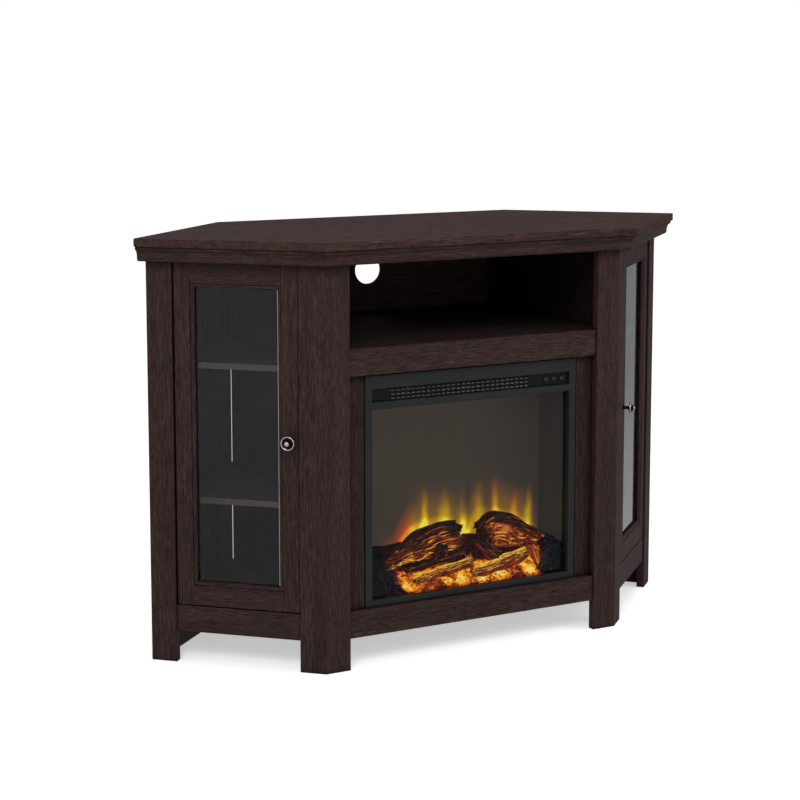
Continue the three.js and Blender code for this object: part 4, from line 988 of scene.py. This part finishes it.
# The tongues, which sway a little and narrow to their tips.
SWAY = 0.004
SWAYS_PER_METRE = 24.0
TIP_SHARE = 1.5  # a tongue's reach at its tip and foot, in its half widths
FOOT_SHARE = 2.3
sway = add(tree, "TexNoise", {"Vector": place, "Scale": SWAYS_PER_METRE, "Detail": 2.0})
sway = add(tree, "MapRange", (sway, 0.3, 0.7, -SWAY, SWAY), interpolation_type="LINEAR")
swayed = add(tree, "Math", (part["X"], sway), operation="ADD")
for middle, width, top, power in FLAMES:
    away = add(tree, "Math", (swayed, middle), operation="SUBTRACT")
    away = add(tree, "Math", (away,), operation="ABSOLUTE")
    fade = (part["Z"], top, FLAME_FOOT, 0.0, 1.0)
    fade = add(tree, "MapRange", fade, interpolation_type="SMOOTHSTEP")
    spread = (fade, 0.0, 1.0, width * TIP_SHARE, width * FOOT_SHARE)
    spread = add(tree, "MapRange", spread, interpolation_type="LINEAR")
    share = add(tree, "Math", (away, spread), operation="DIVIDE")
    tongue = add(tree, "MapRange", (share, 1.0, 0.0, 0.0, power), interpolation_type="SMOOTHSTEP")
    tongue = add(tree, "Math", (tongue, fade), operation="MULTIPLY")
    glow_level = add(tree, "Math", (glow_level, tongue), operation="ADD")

# The red glow that hugs the left log's upper edge, and the orange of single tongues.
RED_LEFT = (-0.165, -0.12)
RED_RIGHT = (-0.05, -0.085)
RED_HEIGHT = 0.058
RED_EDGE = 0.014
REDDER_LEFT = (-0.058, -0.085)
ORANGE_REACH = (0.018, 0.004)
from_left = add(tree, "MapRange", (part["X"], *RED_LEFT, 0.0, 1.0), interpolation_type="SMOOTHSTEP")
from_right = add(tree, "MapRange", (part["X"], *RED_RIGHT, 0.0, 1.0), interpolation_type="SMOOTHSTEP")
left_end = add(tree, "Math", (from_left, from_right), operation="MULTIPLY")
haze = add(tree, "MapRange", (over, RED_HEIGHT, 0.0, 0.0, 0.42), interpolation_type="SMOOTHSTEP")
edge = add(tree, "MapRange", (over, RED_EDGE, 0.0, 0.0, 0.3), interpolation_type="SMOOTHSTEP")
red_glow = add(tree, "Math", (haze, edge), operation="ADD")
red_glow = add(tree, "Math", (left_end, red_glow), operation="MULTIPLY")
glow_level = add(tree, "Math", (glow_level, red_glow), operation="ADD")
redder = add(tree, "MapRange", (part["X"], *REDDER_LEFT, 0.0, 1.0), interpolation_type="SMOOTHSTEP")
for middle in ORANGE_FLAMES:
    away = add(tree, "Math", (part["X"], middle), operation="SUBTRACT")
    away = add(tree, "Math", (away,), operation="ABSOLUTE")
    orange = add(tree, "MapRange", (away, *ORANGE_REACH, 0.0, 0.35), interpolation_type="SMOOTHSTEP")
    redder = add(tree, "Math", (redder, orange), operation="ADD")
golden = add(tree, "ValToRGB", (glow_level,), GOLDEN)
red = add(tree, "ValToRGB", (glow_level,), RED)
glow = add(tree, "Mix", (redder, golden, red), data_type="RGBA", blend_type="MIX")

# The screen behind the flames glows with a painted light of its own, darker in its upper right corner.
PAINTED_SCREEN_LIGHT = linear("#3e3934")
PAINTED_SCREEN_LIGHT_CORNER = linear("#2c2a29")
CORNER_RIGHT = (0.04, 0.225)
CORNER_TOP = (0.4, 0.48)
to_right = add(tree, "MapRange", (part["X"], *CORNER_RIGHT, 0.0, 1.0), interpolation_type="SMOOTHSTEP")
to_top = add(tree, "MapRange", (part["Z"], *CORNER_TOP, 0.55, 1.0), interpolation_type="SMOOTHSTEP")
corner = add(tree, "Math", (to_right, to_top), operation="MULTIPLY")
back = add(tree, "Mix", (corner, PAINTED_SCREEN_LIGHT, PAINTED_SCREEN_LIGHT_CORNER), data_type="RGBA", blend_type="MIX")
lit = add(tree, "MapRange", (glow_level, 0.0, 0.14, 0.0, 1.0), interpolation_type="SMOOTHSTEP")
screen = add(tree, "Mix", (lit, back, glow), data_type="RGBA", blend_type="MIX")
looks = {"Base Color": linear("#161311"), "Roughness": 0.6, "Specular IOR Level": 0.05}
looks |= {"Emission Color": screen, "Emission Strength": 1.0}
surface = add(tree, "BsdfPrincipled", looks)
add(tree, "OutputMaterial", (surface,))
dress(flame, "flame_screen")

# Side liners: sheets of the same smoke-brown acrylic over both walls of the case. Not lit by the flames,
# they glow with a dim painted light like the screen's, so that the fire seems to stand in one brown
# hollow.
# They stand on the coal ends of the ember bed.
LINER = 0.0015
LINER_GAP = 0.0004
LINER_SUNK = 0.02  # foot of a liner below the top of the coal
LINER_EASE_SHARE = 0.1
LINER_INWARD = 0.012
screen_low, screen_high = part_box("flame_screen")
liner = skin("smoke-brown acrylic liner with painted glow", "#1c1a19", 0.5, 0.0, 1.0, 0.02, 0.1)
# The liners glow with a painted light, the same dim brown as the screen behind.
surface = liner.node_tree.nodes["Principled BSDF"]
surface.inputs["Emission Color"].default_value = linear("#2a2826")
surface.inputs["Emission Strength"].default_value = 0.85
foot = BED_END - LINER_SUNK
front = bed_low.y + LINER_INWARD
for side, turn in SIDES:
    shape = bmesh.new()
    bmesh.ops.create_cube(shape, size=1)
    eased = LINER_EASE_SHARE
    bmesh.ops.bevel(
        shape, geom=shape.edges[:], offset=eased, affect="EDGES", segments=2, profile=0.5, material=-1
    )
    for vert in shape.verts:
        x = turn * (screen_high.x - LINER_GAP - LINER * (0.5 - vert.co.x))
        y = screen_low.y - LINER_GAP + (front - screen_low.y) * (0.5 - vert.co.y)
        vert.co = (x, y, foot + (screen_high.z - foot) * (vert.co.z + 0.5))
    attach(piece(f"side_liner_{side}", shape, liner), "cabinet")
